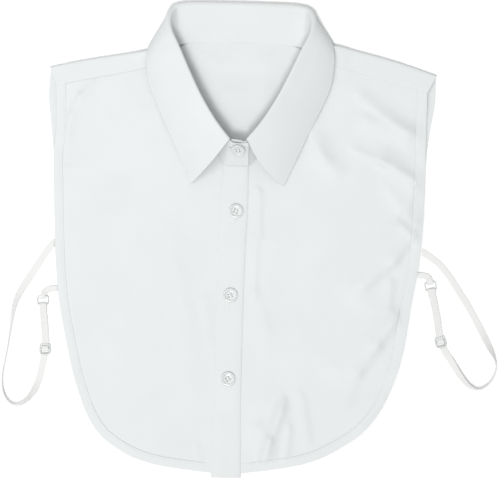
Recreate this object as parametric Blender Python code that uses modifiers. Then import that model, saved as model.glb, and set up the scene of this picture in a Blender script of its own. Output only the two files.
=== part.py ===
"""A detachable shirt collar: a half shirt of two fronts and a back, laid flat with its front up.

The surface that it lies on is z = 0. The wearer's head end is +Y, and the buttoned fronts face +Z.
Tables are in millimetres; everything else is in metres.
"""
import math

import bmesh
import bpy
from mathutils import Matrix, Vector

MM = 0.001

CLOTH_WALL = 1.0 * MM
COLLAR_WALL = 1.2 * MM
SEAM_GAP = 0.3 * MM

BACK_INSIDE_Z = CLOTH_WALL
FRONT_TOP_Z = BACK_INSIDE_Z + SEAM_GAP + CLOTH_WALL
PLACKET_TOP_Z = FRONT_TOP_Z + SEAM_GAP + CLOTH_WALL

HEM_WIDTH = 7.5 * MM
HEM_STEP_WIDTH = 1.5 * MM
HEM_RAISE = 0.5 * MM
HEM_FADE = 14.0 * MM

COLLAR_CENTRE_X = -2.0 * MM
LEAF_LIP = 1.0 * MM
LEAF_LEAVE = 0.55
LEAF_ARRIVE = 1.1
LEAF_BULGE = 1.5 * MM
LEAF_STRAIGHT_LEAN = (14.0, 68.0)
LEAF_BOW_LEFT = 1.2 * MM
LEAF_BOW_RIGHT = 3.8 * MM
LEAF_BOW_SHARE = 0.07
NECK_LIFT = 1.7 * MM
NECK_LIFT_Y = (145.0, 156.0)
NECK_LIFT_X = (86.0, 98.0)
PANEL_SPLIT_Y = -60.0

SHOULDER_RISE = 1.1 * MM
SHOULDER_RISE_LENGTH = 34.0
SHOULDER_SLOPE = 0.205
SHOULDER_SEAM_Y = 166.3

BUTTON_DIAMETER = 12.5 * MM
BUTTON_THICKNESS = 2.4 * MM
BUTTON_DISH_DEPTH = 0.7 * MM
BUTTON_RIM_WIDTH = 2.2 * MM
BUTTON_EDGE_ROUND = 0.6 * MM
BUTTON_FOOT_INSET = 1.2 * MM
BUTTON_HOLE_RADIUS = 0.9 * MM
BUTTON_HOLE_SPREAD = 1.7 * MM
BAND_BUTTON_SHARE = 0.77

STRAP_WIDTH = 6.0 * MM
STRAP_WALL = 1.0 * MM
TAB_WIDTH = 5.0 * MM
RING_BAR_RADIUS = 0.65 * MM
RING_LONG = 9.4 * MM
RING_SHORT = 7.0 * MM
RING_CORNER = 1.5 * MM
RING_Z = 2.0 * MM
SLIDER_SIZE = 10.0 * MM
SLIDER_WALL = 1.2 * MM
SLIDER_BAR = 1.4 * MM
SLIDER_CORNER = 1.6 * MM
SLOT_CORNER = 0.5 * MM

# Outer edge of the laid panels from the shoulder tip down to the hem's middle.
OUTLINE = (
    # left x, left y, right x, right y
    (-169.3, 148.0, 171.2, 148.8),
    (-169.5, 122.0, 169.9, 123.0),
    (-166.6, 95.0, 165.9, 96.5),
    (-163.9, 68.0, 163.2, 67.0),
    (-162.0, 17.0, 162.0, 17.0),
    (-160.0, -20.0, 159.3, -18.0),
    (-156.1, -57.0, 153.3, -56.0),
    (-149.0, -92.0, 147.6, -95.0),
    (-140.3, -127.0, 138.5, -127.0),
    (-126.2, -161.8, 122.0, -157.5),
    (-107.2, -182.4, 100.4, -177.1),
    (-72.4, -198.2, 63.9, -195.2),
    (-18.0, -205.4, 9.8, -205.4),
)

# Armhole edge of the fronts, which lies inside the back's, from the shoulder seam down.
FRONT_ARMHOLE = (
    # left x, left y, right x, right y
    (-162.9, 132.3, 163.1, 133.2),
    (-162.1, 101.0, 163.0, 101.0),
    (-162.6, 82.0, 163.0, 82.0),
)
FRONT_JOINS_OUTLINE_AT = 3

# The shoulders' folded edges, and the seams that lie in front of them, from the neck out.
SHOULDER = (
    # left fold x, y, left seam x, y, right fold x, y, right seam x, y, fold radius
    (-60.6, 166.6, -62.2, 154.0, 56.6, 171.0, 58.4, 160.8, 2.7),
    (-83.4, 164.7, -84.0, 149.3, 78.4, 173.3, 82.4, 154.5, 2.6),
    (-111.5, 160.0, -108.0, 143.6, 105.0, 167.9, 104.0, 148.8, 2.5),
    (-143.0, 154.2, -134.0, 138.4, 138.0, 159.4, 132.0, 141.4, 2.3),
    (-169.3, 148.0, -162.9, 132.3, 171.2, 148.8, 163.1, 133.2, 2.0),
)

# Neckline of the fronts from the placket to the shoulder seam, measured from the collar's middle.
FRONT_NECKLINE = (
    # half width, y
    (15.0, 70.0),
    (31.0, 87.0),
    (47.0, 112.0),
    (57.6, 138.0),
    (60.2, 154.0),
)

# Neckline of the back from its middle to the shoulder fold, measured from the collar's middle.
BACK_NECKLINE = (
    # half width, y
    (0.0, 172.4),
    (28.0, 171.9),
    (44.0, 170.6),
    (54.0, 168.0),
    (58.6, 163.7),
)

# The collar from the middle of the back to the front end of its leaf, all measured from its middle.
COLLAR = (
    # base x, base y, base z, roll x, roll y, roll z, edge x, edge y, edge z, lean, roll radius
    (0.0, 173.4, 3.0, 0.0, 209.2, 4.0, 0.0, 165.4, 0.0, 90.0, 4.0),
    (26.0, 172.7, 3.0, 27.0, 209.0, 4.0, 29.0, 165.2, 0.0, 90.0, 4.0),
    (44.0, 171.3, 3.2, 48.0, 208.4, 4.4, 53.0, 165.6, 0.0, 86.0, 4.0),
    (52.0, 170.0, 3.6, 60.2, 204.6, 8.0, 69.0, 167.6, 0.2, 68.0, 3.4),
    (55.4, 167.8, 4.2, 64.9, 195.0, 16.0, 80.5, 168.6, 2.6, 42.0, 2.6),
    (57.4, 163.6, 4.6, 62.4, 182.0, 23.0, 81.6, 161.6, 8.8, 14.0, 2.0),
    (58.6, 153.6, 4.2, 54.6, 166.6, 27.0, 81.9, 150.6, 8.6, 0.0, 1.8),
    (56.0, 138.0, 3.2, 45.8, 148.4, 28.0, 79.5, 134.6, 5.6, -14.0, 1.8),
    (45.4, 112.6, 2.6, 34.3, 125.6, 28.0, 70.3, 112.4, 5.2, -24.0, 1.8),
    (29.4, 87.6, 2.6, 20.8, 104.0, 27.6, 57.9, 86.0, 5.2, -31.0, 1.8),
    (12.0, 72.2, 3.2, 7.4, 87.4, 26.8, 40.8, 48.2, 4.6, -35.0, 1.8),
)

# Outer edge of the leaf where it crosses the right shoulder, which lies higher than the left one.
LEAF_OVER_RIGHT_SHOULDER = (
    # row of the collar's table, edge x, edge y, edge z
    (3, 68.6, 170.4, 0.2),
    (4, 78.6, 177.4, 2.6),
    (5, 81.6, 169.6, 9.6),
    (6, 82.6, 156.6, 9.6),
)

# Foot of the neckband at the right front end of the leaf, where its overlapping end starts.
BAND_OVER_START = (-12.0, 68.0, 4.6)

# Ends of the neckband past the leaf. The left one laps over the right one.
BAND_OVER_END = (
    # base x, base y, base z, roll x, roll y, roll z, lean, roll radius
    (2.6, 66.4, 5.4, 0.6, 84.4, 27.4, -35.0, 1.8),
    (-9.6, 66.2, 5.2, -9.2, 85.4, 27.2, -35.0, 1.8),
)
BAND_UNDER_END = (
    # base x, base y, base z, roll x, roll y, roll z, lean, roll radius
    (4.0, 73.8, 2.4, 2.2, 87.2, 26.0, -35.0, 1.8),
    (-5.6, 74.0, 2.4, -5.8, 88.6, 25.6, -35.0, 1.8),
)

# Long edges of the top placket, and the middles of the buttons on it.
PLACKET = (
    # y, left x, right x
    (68.2, -15.2, 7.8),
    (25.0, -16.8, 8.0),
    (-9.0, -17.4, 6.6),
    (-60.0, -17.8, 6.0),
    (-140.0, -18.4, 5.9),
    (-209.2, -18.6, 7.4),
)
PLACKET_BUTTONS = (
    # name, x, y
    ("button_2", -2.4, 25.4),
    ("button_3", -5.4, -48.7),
    ("button_4", -5.7, -122.2),
)
PLACKET_LAP = 1.5 * MM
UNDER_PLACKET_INSET = 1.2 * MM
UNDER_PLACKET_TOP_Y = 70.0 * MM
UNDER_PLACKET_END_Y = -205.0 * MM

# Largest soft folds of the fronts, as ridges between two ends.
FOLDS = (
    # x, y, end x, end y, half width, height
    (112.0, 107.0, 145.0, 96.0, 9.0, 1.6),
    (126.0, 77.0, 149.0, 54.0, 9.0, 1.4),
    (140.0, 10.0, 106.0, -41.0, 11.0, 1.8),
    (134.0, -70.0, 92.0, -112.0, 11.0, 1.6),
    (70.0, 80.0, 84.0, 62.0, 9.0, 1.2),
    (22.0, -166.0, 30.0, -190.0, 7.0, 1.4),
    (42.0, -150.0, 34.0, -184.0, 7.0, 1.2),
    (-138.0, 122.0, -156.0, 88.0, 8.0, 1.4),
    (-56.0, 0.0, -50.0, -90.0, 12.0, 0.8),
    (-92.0, 118.0, -74.0, 96.0, 10.0, 0.9),
)

# The wearer's right strap from the side edge round its loop and up to the ring, then its ring and
# slider as x, y and heading in degrees, and the middle line of its tab from the side edge.
STRAP_RIGHT = (
    # x, y, roll in degrees
    (-161.5, -6.0, 0.0),
    (-164.4, -9.4, 0.0),
    (-168.6, -15.2, 0.0),
    (-174.6, -24.6, 4.0),
    (-182.6, -37.2, 10.0),
    (-190.8, -51.0, 26.0),
    (-195.8, -65.0, 56.0),
    (-198.4, -84.4, 80.0),
    (-200.8, -103.0, 88.0),
    (-203.6, -119.6, 90.0),
    (-204.2, -131.0, 90.0),
    (-201.8, -141.4, 90.0),
    (-196.2, -148.6, 86.0),
    (-189.6, -149.8, 80.0),
    (-182.6, -146.0, 66.0),
    (-176.6, -138.4, 40.0),
    (-172.6, -129.0, 10.0),
    (-170.2, -118.0, 0.0),
    (-168.0, -106.0, 0.0),
    (-167.0, -94.0, 0.0),
    (-168.4, -78.0, 0.0),
    (-169.8, -66.0, 0.0),
)
RING_RIGHT = (-170.2, -57.6, 94.0)
SLIDER_RIGHT = (-167.2, -100.4, 92.0)
TAB_RIGHT = ((-157.9, -46.8), (-162.6, -47.2), (-167.0, -48.8), (-169.8, -51.4))

# The wearer's left strap, in the same order.
STRAP_LEFT = (
    # x, y, roll in degrees
    (162.2, -6.6, 0.0),
    (165.6, -8.6, 0.0),
    (170.6, -11.8, 0.0),
    (178.8, -18.4, 0.0),
    (187.6, -29.0, 0.0),
    (196.6, -42.6, 0.0),
    (205.8, -56.6, 0.0),
    (215.0, -73.0, -4.0),
    (223.0, -88.0, -30.0),
    (228.2, -98.6, -66.0),
    (229.4, -107.4, -88.0),
    (226.6, -116.4, -90.0),
    (221.0, -123.2, -90.0),
    (213.8, -126.4, -84.0),
    (206.2, -123.4, -62.0),
    (198.4, -114.6, -44.0),
    (190.6, -102.8, -20.0),
    (184.2, -93.0, 0.0),
    (179.6, -82.6, 0.0),
    (177.2, -68.0, 0.0),
    (174.6, -55.0, 0.0),
    (171.9, -44.6, 0.0),
)
RING_LEFT = (170.2, -36.6, 102.0)
SLIDER_LEFT = (180.2, -85.4, 106.0)
TAB_LEFT = ((159.0, -27.4), (163.6, -27.6), (167.4, -28.8), (169.0, -31.0))

HAIRPIN_RADIUS = RING_BAR_RADIUS + SEAM_GAP + STRAP_WALL / 2.0
HAIRPIN_TAPER = 7.0 * MM
BEND_STEPS = 6
EDGE_TURN_STEPS = 6

PANEL_COLUMNS = 26
PANEL_ROWS = 8
FOLD_ROWS = 4
NECK_ROW = 2
FLAP_ROWS = 2
COLLAR_COLUMNS = 54
BAND_COLUMNS = 6
STAND_ROWS = 3
SLOPE_STEP = 0.2
ROLL_ROWS = 4
DRAPE_ROWS = 5
ROUND_SEGMENTS = 20

CLOTH_COLOUR = (0.86, 0.88, 0.88)
PLASTIC_COLOUR = (0.80, 0.82, 0.82)
ELASTIC_COLOUR = (0.84, 0.85, 0.84)
CLOTH_ROUGHNESS = 0.9
PLASTIC_ROUGHNESS = 0.3


def smooth(rows, share):
    """Point at a share from 0 to 1 of a smooth curve through the rows, with even steps per row."""
    last = len(rows) - 1
    place = min(max(share, 0.0), 1.0) * last
    index = min(int(place), last - 1)
    f = place - index
    before = rows[max(index - 1, 0)]
    after = rows[min(index + 2, last)]
    point = []
    for a, b, c, d in zip(before, rows[index], rows[index + 1], after):
        cubic = 3.0 * b - a - 3.0 * c + d
        square = 2.0 * a - 5.0 * b + 4.0 * c - d
        point.append(0.5 * (2.0 * b + (c - a) * f + square * f * f + cubic * f * f * f))
    return tuple(point)


def evenly(rows, steps=240):
    """A function of a share from 0 to 1 that moves at an even pace along the rows' x and y."""
    points = [smooth(rows, i / steps) for i in range(steps + 1)]
    lengths = [0.0]
    for a, b in zip(points, points[1:]):
        lengths.append(lengths[-1] + math.dist(a[:2], b[:2]))

    def at(share):
        target = min(max(share, 0.0), 1.0) * lengths[-1]
        low, high = 0, steps
        while high - low > 1:
            middle = (low + high) // 2
            if lengths[middle] <= target:
                low = middle
            else:
                high = middle
        span = max(lengths[high] - lengths[low], 1e-9)
        f = (target - lengths[low]) / span
        return tuple(a + (b - a) * f for a, b in zip(points[low], points[high]))

    return at


def ease(low, high, value):
    """0 below low, 1 above high, and a smooth rise between them."""
    f = min(max((value - low) / (high - low), 0.0), 1.0)
    return f * f * (3.0 - 2.0 * f)


def side_rows(rows, side):
    """The left or the right pair of columns of an outline table."""
    return [row[:2] if side < 0 else row[2:4] for row in rows]


def placket_edge(y_mm, column):
    """x of the top placket's left (1) or right (2) edge at a height, in millimetres."""
    for upper, lower in zip(PLACKET, PLACKET[1:]):
        if y_mm >= lower[0]:
            f = (upper[0] - y_mm) / (upper[0] - lower[0])
            return upper[column] + (lower[column] - upper[column]) * f
    return PLACKET[-1][column]


def front_edge_x(y_mm, side):
    """x of a front's own edge under the top placket, where the right one meets the lower placket."""
    if side < 0:
        return placket_edge(y_mm, 1) + PLACKET_LAP / MM
    return placket_edge(y_mm, 2) + (SEAM_GAP - UNDER_PLACKET_INSET) / MM


def fold_height(x, y):
    """Height in millimetres of the soft folds at a point given in millimetres."""
    height = 0.0
    for x0, y0, x1, y1, half_width, peak in FOLDS:
        dx, dy = x1 - x0, y1 - y0
        along = ((x - x0) * dx + (y - y0) * dy) / (dx * dx + dy * dy)
        near = min(max(along, 0.0), 1.0)
        distance = math.hypot(x - x0 - near * dx, y - y0 - near * dy)
        height += peak * math.exp(-(distance / half_width) ** 2)
    return height


def neck_lift(x, y):
    """How far the back is lifted, in metres, where the turned-under leaf lies below it."""
    across = 1.0 - ease(NECK_LIFT_X[0], NECK_LIFT_X[1], abs(x))
    return NECK_LIFT * across * ease(NECK_LIFT_Y[0], NECK_LIFT_Y[1], y)


def front_top(x, y):
    """Height in metres of a front's outer face at a point given in millimetres."""
    below_seam = SHOULDER_SEAM_Y - SHOULDER_SLOPE * abs(x) - y
    rise = SHOULDER_RISE * (1.0 - ease(0.0, SHOULDER_RISE_LENGTH, below_seam))
    return FRONT_TOP_Z + rise + neck_lift(x, y) + fold_height(x, y) * MM


def shoulder_rows(side, first):
    """Rows of a shoulder's fold (first 0) or seam (first 2) with its fold radius, from the neck out."""
    column = first if side < 0 else first + 4
    return [(row[column], row[column + 1], row[-1]) for row in SHOULDER]


def shoulder_fold(side):
    """A function of a share along a shoulder, from the neck, that gives its fold and its seam.

    It returns the fold's lower tangent line, its middle, its outward direction, its radius and the
    seam, all in millimetres.
    """
    fold = evenly(shoulder_rows(side, 0))
    seam = evenly(shoulder_rows(side, 2))

    def at(share):
        fx, fy, radius = fold(share)
        sx, sy, _ = seam(share)
        out = Vector((fx - sx, fy - sy, 0.0)).normalized()
        tangent = Vector((fx, fy, 0.0)) - out * radius
        tangent.z = neck_lift(tangent.x, tangent.y) / MM
        return tangent, tangent + Vector((0.0, 0.0, radius)), out, radius, (sx, sy)

    return at


def neck_share(width):
    """Share across the back's top edge at which its neckline ends."""
    return (1.0 - (HEM_WIDTH + HEM_STEP_WIDTH) / width) * NECK_ROW / (PANEL_ROWS - 2)


def panel_place(side, is_front):
    """A function from shares round and across one half of a panel to its x and y in millimetres.

    Round goes from the hem's middle up the side to the shoulder; across goes from the middle out.
    A front's neckline is part of its inner edge, and the back's is part of its top edge.
    """
    outer = side_rows(OUTLINE, side)
    table = FRONT_NECKLINE if is_front else BACK_NECKLINE
    neckline = [(COLLAR_CENTRE_X / MM + side * x, y) for x, y in table]

    def middle_x(y):
        return front_edge_x(y, side) if is_front else COLLAR_CENTRE_X / MM

    top_y = neckline[0][1]
    hem_y = outer[-1][1]
    neckline[0] = (middle_x(top_y), top_y)
    outer[-1] = (middle_x(hem_y), hem_y)
    straight = top_y - PANEL_SPLIT_Y
    if is_front:
        outer = side_rows(FRONT_ARMHOLE, side) + outer[FRONT_JOINS_OUTLINE_AT:]
        neck_length = sum(math.dist(a, b) for a, b in zip(neckline, neckline[1:]))
        straight_share = straight / (straight + neck_length)
        upper = evenly(shoulder_rows(side, 2))
        neckline[-1] = upper(0.0)[:2]
    else:
        fold = shoulder_fold(side)
        neckline[-1] = tuple(fold(0.0)[0][:2])
        outer[0] = tuple(fold(1.0)[0][:2])
        straight_share = 1.0
        turn = neck_share(math.dist(neckline[0], outer[0]) * MM)
    neck_curve = evenly(neckline)
    edge = evenly(outer[::-1])

    def inner(share):
        if share <= straight_share:
            y = PANEL_SPLIT_Y + straight * share / straight_share
            return (middle_x(y), y)
        return neck_curve((share - straight_share) / (1.0 - straight_share))

    def lower(share):
        y = PANEL_SPLIT_Y + (hem_y - PANEL_SPLIT_Y) * share
        return (middle_x(y), y)

    def top(share):
        if is_front:
            return upper(share)
        if share <= turn:
            return neck_curve(share / turn)
        return fold((share - turn) / (1.0 - turn))[0]

    def place(round_share, across):
        s, t = round_share, across
        ends = (inner(0.0), inner(1.0), lower(1.0), top(1.0))
        a, b, c, d = inner(s), edge(s), lower(t), top(t)
        point = []
        for k in range(2):
            corners = (1 - s) * (1 - t) * ends[0][k] + s * (1 - t) * ends[1][k]
            corners += (1 - s) * t * ends[2][k] + s * t * ends[3][k]
            point.append((1 - t) * a[k] + t * b[k] + (1 - s) * c[k] + s * d[k] - corners)
        return tuple(point)

    return place


def hem_share(place, s, row, rows):
    """Share across a panel of a row, with its last two rows at the hem's inner edge and step."""
    width = math.dist(place(s, 0.0), place(s, 1.0)) * MM
    step = HEM_WIDTH + HEM_STEP_WIDTH
    if row == rows:
        return 1.0
    if row == rows - 1:
        return 1.0 - HEM_WIDTH / width
    return (1.0 - step / width) * row / (rows - 2)


def new_grid(bm, columns, rows, place):
    """Add a grid of faces whose corners lie where place(column, row) says."""
    made = bmesh.ops.create_grid(bm, x_segments=columns, y_segments=rows, size=1.0)["verts"]
    for vert in made:
        column = round((vert.co.x + 1.0) / 2.0 * columns)
        row = round((vert.co.y + 1.0) / 2.0 * rows)
        vert.co = place(column, row)
    return made


def cloth_object(name, bm, wall, offset, colour):
    """Make an open surface into a wall of even thickness."""
    mesh = bpy.data.meshes.new(name)
    bm.to_mesh(mesh)
    bm.free()
    part = bpy.data.objects.new(name, mesh)
    finish(part, colour, CLOTH_ROUGHNESS)
    solid = part.modifiers.new("wall", "SOLIDIFY")
    solid.thickness = wall
    solid.offset = offset
    solid.use_even_offset = True
    solid.use_quality_normals = True
    return part


def finish(part, colour, roughness):
    """Link a part to the model's collection and give it a material of its own."""
    COLLECTION.objects.link(part)
    material = bpy.data.materials.new(part.name + "_material")
    material.use_nodes = True
    shader = material.node_tree.nodes["Principled BSDF"]
    shader.inputs["Base Color"].default_value = (*colour, 1.0)
    shader.inputs["Roughness"].default_value = roughness
    shader.inputs["Metallic"].default_value = 0.0
    part.data.materials.append(material)


def make_front(name, side):
    """One front, from its placket out to the side, lying on the back."""
    place = panel_place(side, True)

    def corner(column, row):
        s = column / PANEL_COLUMNS
        x, y = place(s, hem_share(place, s, row, PANEL_ROWS))
        clear = abs(x - front_edge_x(y, side)) * MM
        raised = HEM_RAISE * ease(PLACKET_LAP, HEM_FADE, clear) if row >= PANEL_ROWS - 1 else 0.0
        return Vector((x * MM, y * MM, front_top(x, y) + raised))

    bm = bmesh.new()
    new_grid(bm, PANEL_COLUMNS, PANEL_ROWS, corner)
    return cloth_object(name, bm, CLOTH_WALL, side, CLOTH_COLOUR)


def make_back():
    """The back, which lies on the surface and turns over the shoulders to their seams."""
    bm = bmesh.new()
    for side in (-1, 1):
        place = panel_place(side, False)
        fold = shoulder_fold(side)
        turn = neck_share(math.dist(place(1.0, 0.0), place(1.0, 1.0)) * MM)

        def lower_layer(column, row):
            s = column / PANEL_COLUMNS
            x, y = place(s, hem_share(place, s, row, PANEL_ROWS))
            return Vector((x * MM, y * MM, neck_lift(x, y)))

        def over_the_shoulder(column, row):
            t = hem_share(place, 1.0, row + NECK_ROW, PANEL_ROWS)
            tangent, centre, out, radius, (sx, sy) = fold((t - turn) / (1.0 - turn))
            if column <= FOLD_ROWS:
                angle = math.pi * column / FOLD_ROWS
                rise = Vector((0.0, 0.0, -math.cos(angle) * radius))
                return (centre + out * math.sin(angle) * radius + rise) * MM
            share = (column - FOLD_ROWS) / FLAP_ROWS
            top = centre + Vector((0.0, 0.0, radius))
            end = Vector((sx, sy, front_top(sx, sy) / MM)) + out * SEAM_GAP / MM
            point = top.lerp(end, share)
            point.z = top.z + (end.z - top.z) * ease(0.0, 1.0, share)
            return point * MM

        made = new_grid(bm, PANEL_COLUMNS, PANEL_ROWS, lower_layer)
        made += new_grid(bm, FOLD_ROWS + FLAP_ROWS, PANEL_ROWS - NECK_ROW, over_the_shoulder)
        if side > 0:
            faces = {face for vert in made for face in vert.link_faces}
            bmesh.ops.reverse_faces(bm, faces=list(faces))
    bmesh.ops.remove_doubles(bm, verts=bm.verts[:], dist=0.01 * MM)
    return cloth_object("back_panel", bm, CLOTH_WALL, 1.0, CLOTH_COLOUR)


def collar_rows():
    """Every row of the collar from its right front round the back to its left front."""
    right = list(COLLAR)
    for index, x, y, z in LEAF_OVER_RIGHT_SHOULDER:
        right[index] = right[index][:6] + (x, y, z) + right[index][9:]
    right.reverse()
    left = [(-x0, y0, z0, -x1, y1, z1, -x2, y2, z2, a, r)
            for x0, y0, z0, x1, y1, z1, x2, y2, z2, a, r in COLLAR[1:]]
    return right + left


def stand_rows():
    """The stand's rows, with both ends of the neckband."""
    middle = [row[:6] + row[9:] for row in collar_rows()]
    middle[-1] = BAND_OVER_START + middle[-1][3:]
    under = list(reversed(BAND_UNDER_END))
    over = [(-x0, y0, z0, -x1, y1, z1, a, r) for x0, y0, z0, x1, y1, z1, a, r in BAND_OVER_END]
    return under + middle + over


def collar_frame(rows, share):
    """Row, stand direction and outward direction of the collar at a share of its rows."""
    row = smooth(rows, share)
    step = SLOPE_STEP / (len(rows) - 1)
    ahead = smooth(rows, min(share + step, 1.0))
    behind = smooth(rows, max(share - step, 0.0))
    along = Vector(ahead[3:5]) - Vector(behind[3:5])
    along.normalize()
    out = Vector((along.y, -along.x, 0.0))
    lean = math.radians(row[-2])
    up = Vector((0.0, 0.0, 1.0))
    stand = out * math.sin(lean) + up * math.cos(lean)
    outward = out * math.cos(lean) - up * math.sin(lean)
    return row, stand, outward


def collar_point(x, y, z):
    """A point of the collar's table as a place in the model."""
    return Vector((x * MM + COLLAR_CENTRE_X, y * MM, z * MM))


def stand_line(share):
    """Lower and upper end of the stand's middle surface at a share, and its outward direction."""
    row, stand, outward = collar_frame(stand_rows(), share)
    radius = row[-1] * MM
    base = collar_point(*row[0:3])
    roll = collar_point(*row[3:6])
    lip = roll - stand * (radius + LEAF_LIP) - outward * (radius - COLLAR_WALL / 2.0)
    down = (base - lip).normalized()
    skew = 1.0 - min(abs(down.dot(stand)), 1.0)
    return base, lip + down * (SEAM_GAP + skew * LEAF_LIP), outward


def make_stand():
    """The collar's stand: one strip round the neck, whose front ends overlap."""

    def corner(column, row):
        base, seam, _ = stand_line(column / (COLLAR_COLUMNS + BAND_COLUMNS))
        return base.lerp(seam, row / STAND_ROWS)

    bm = bmesh.new()
    new_grid(bm, COLLAR_COLUMNS + BAND_COLUMNS, STAND_ROWS, corner)
    return cloth_object("collar_stand", bm, COLLAR_WALL, 0.0, CLOTH_COLOUR)


def leaf_line(rows, share):
    """The leaf's section at a share round the collar.

    It returns the roll's middle and radius, the stand's and the outward direction, the angle round
    the roll at which the leaf leaves it, how straight it runs from there, and its outer edge. The
    straightness is 0 at the back, where the leaf lies flat below the stand, and 1 at the fronts.
    """
    values, stand, outward = collar_frame(rows, share)
    radius = values[-1] * MM
    centre = collar_point(*values[3:6]) - stand * radius
    edge = collar_point(*values[6:9])
    straight = 1.0 - ease(*LEAF_STRAIGHT_LEAN, values[-2])
    along_stand, beside = (edge - centre).dot(stand), (edge - centre).dot(outward)
    reach = math.hypot(along_stand, beside)
    tangent = math.atan2(beside, along_stand) + math.asin(radius / reach) - 4.0 * LEAF_BULGE / reach
    turn = math.pi + (tangent - math.pi) * straight
    return centre, radius, stand, outward, turn, straight, edge


def leaf_bow(chord, share, f):
    """Offset of the leaf towards the placket, which bows its front edges out."""
    bow = LEAF_BOW_RIGHT if share < 0.5 else LEAF_BOW_LEFT
    across = Vector((chord.y, -chord.x, 0.0)).normalized() * (1.0 if share < 0.5 else -1.0)
    front = 1.0 - ease(0.0, LEAF_BOW_SHARE, min(share, 1.0 - share))
    return across * bow * front * 4.0 * f * (1.0 - f)


def make_leaf():
    """The collar's leaf: from the stand's top over the roll and down to its outer edge."""
    rows = collar_rows()

    def corner(column, row):
        share = column / COLLAR_COLUMNS
        centre, radius, stand, outward, turn, straight, edge = leaf_line(rows, share)
        if row == 0:
            return centre - outward * radius - stand * LEAF_LIP
        if row <= ROLL_ROWS + 1:
            angle = turn * (row - 1) / ROLL_ROWS
            return centre + (stand * math.sin(angle) - outward * math.cos(angle)) * radius
        f = (row - ROLL_ROWS - 1) / DRAPE_ROWS
        away = stand * math.sin(turn) - outward * math.cos(turn)
        start = centre + away * radius
        chord = edge - start
        leave = (-stand * chord.length * LEAF_LEAVE).lerp(chord, straight)
        flat = Vector((chord.x, chord.y, 0.0)).normalized()
        arrive = (flat * chord.length * LEAF_ARRIVE).lerp(chord, straight)
        a = 2 * f ** 3 - 3 * f ** 2 + 1
        b = f ** 3 - 2 * f ** 2 + f
        c = f ** 3 - f ** 2
        point = start * a + leave * b + edge * (1 - a) + arrive * c
        point += away * LEAF_BULGE * straight * 4.0 * f * (1.0 - f)
        point += leaf_bow(chord, share, f)
        point.z = max(point.z, 0.0)
        return point

    bm = bmesh.new()
    new_grid(bm, COLLAR_COLUMNS, ROLL_ROWS + 1 + DRAPE_ROWS, corner)
    return cloth_object("collar_leaf", bm, COLLAR_WALL, 1.0, CLOTH_COLOUR)


def make_placket(name, top_y, end_y, left_x, right_x, top_z):
    """One placket: a straight strip down the middle front."""
    columns, rows = 3, 14

    def corner(column, row):
        y = end_y + (top_y - end_y) * row / rows
        left, right = left_x(y / MM) * MM, right_x(y / MM) * MM
        return Vector((left + (right - left) * column / columns, y, top_z))

    bm = bmesh.new()
    new_grid(bm, columns, rows, corner)
    return cloth_object(name, bm, CLOTH_WALL, -1.0, CLOTH_COLOUR)


def make_plackets():
    """The top placket, which carries the buttonholes, and the lower one under it."""
    make_placket("placket_top", PLACKET[0][0] * MM, PLACKET[-1][0] * MM,
                 lambda y: placket_edge(y, 1), lambda y: placket_edge(y, 2), PLACKET_TOP_Z)
    inset = (PLACKET_LAP + 2.0 * SEAM_GAP) / MM
    make_placket("placket_under", UNDER_PLACKET_TOP_Y, UNDER_PLACKET_END_Y,
                 lambda y: placket_edge(y, 1) + inset,
                 lambda y: placket_edge(y, 2) - UNDER_PLACKET_INSET / MM, FRONT_TOP_Z)


def turned_mesh(name, profile):
    """A closed turned body from a profile of radius and height, top to bottom down its outer side."""
    mesh = bpy.data.meshes.new(name)
    mesh.from_pydata([(r, 0.0, z) for r, z in profile], [(i, i + 1) for i in range(len(profile) - 1)], [])
    part = bpy.data.objects.new(name, mesh)
    screw = part.modifiers.new("turn", "SCREW")
    screw.steps = ROUND_SEGMENTS
    screw.render_steps = ROUND_SEGMENTS
    screw.use_merge_vertices = True
    screw.merge_threshold = 0.00001
    return part


def make_button(name, place, normal):
    """A four-hole shirt button with a raised rim, its underside SEAM_GAP above what it lies on."""
    radius = BUTTON_DIAMETER / 2.0
    height = BUTTON_THICKNESS
    floor = height - BUTTON_DISH_DEPTH
    dish = radius - BUTTON_RIM_WIDTH
    profile = (
        (0.0, floor), (dish, floor), (dish + BUTTON_DISH_DEPTH, height),
        (radius - BUTTON_EDGE_ROUND, height), (radius, height - BUTTON_EDGE_ROUND),
        (radius - BUTTON_EDGE_ROUND / 3.0, BUTTON_EDGE_ROUND),
        (radius - BUTTON_FOOT_INSET, 0.0), (0.0, 0.0),
    )
    part = turned_mesh(name, profile)
    finish(part, PLASTIC_COLOUR, PLASTIC_ROUGHNESS)
    turn = Vector((0.0, 0.0, 1.0)).rotation_difference(normal).to_matrix().to_4x4()
    part.matrix_world = Matrix.Translation(place + normal * SEAM_GAP) @ turn
    for i in range(4):
        angle = math.radians(45.0 + 90.0 * i)
        offset = Vector((math.cos(angle), math.sin(angle), 0.0)) * BUTTON_HOLE_SPREAD
        offset.z = height / 2.0
        bpy.ops.mesh.primitive_cylinder_add(vertices=8, radius=BUTTON_HOLE_RADIUS, depth=3.0 * height)
        cutter = bpy.context.object
        cutter.name = f"{name}_hole_{i + 1}"
        cutter.matrix_world = part.matrix_world @ Matrix.Translation(offset)
        for owner in list(cutter.users_collection):
            owner.objects.unlink(cutter)
        CUTTERS.objects.link(cutter)
        cutter.display_type = "WIRE"
        cutter.hide_render = True
        cut = part.modifiers.new(f"hole_{i + 1}", "BOOLEAN")
        cut.operation = "DIFFERENCE"
        cut.solver = "EXACT"
        cut.object = cutter
    return part


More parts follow.
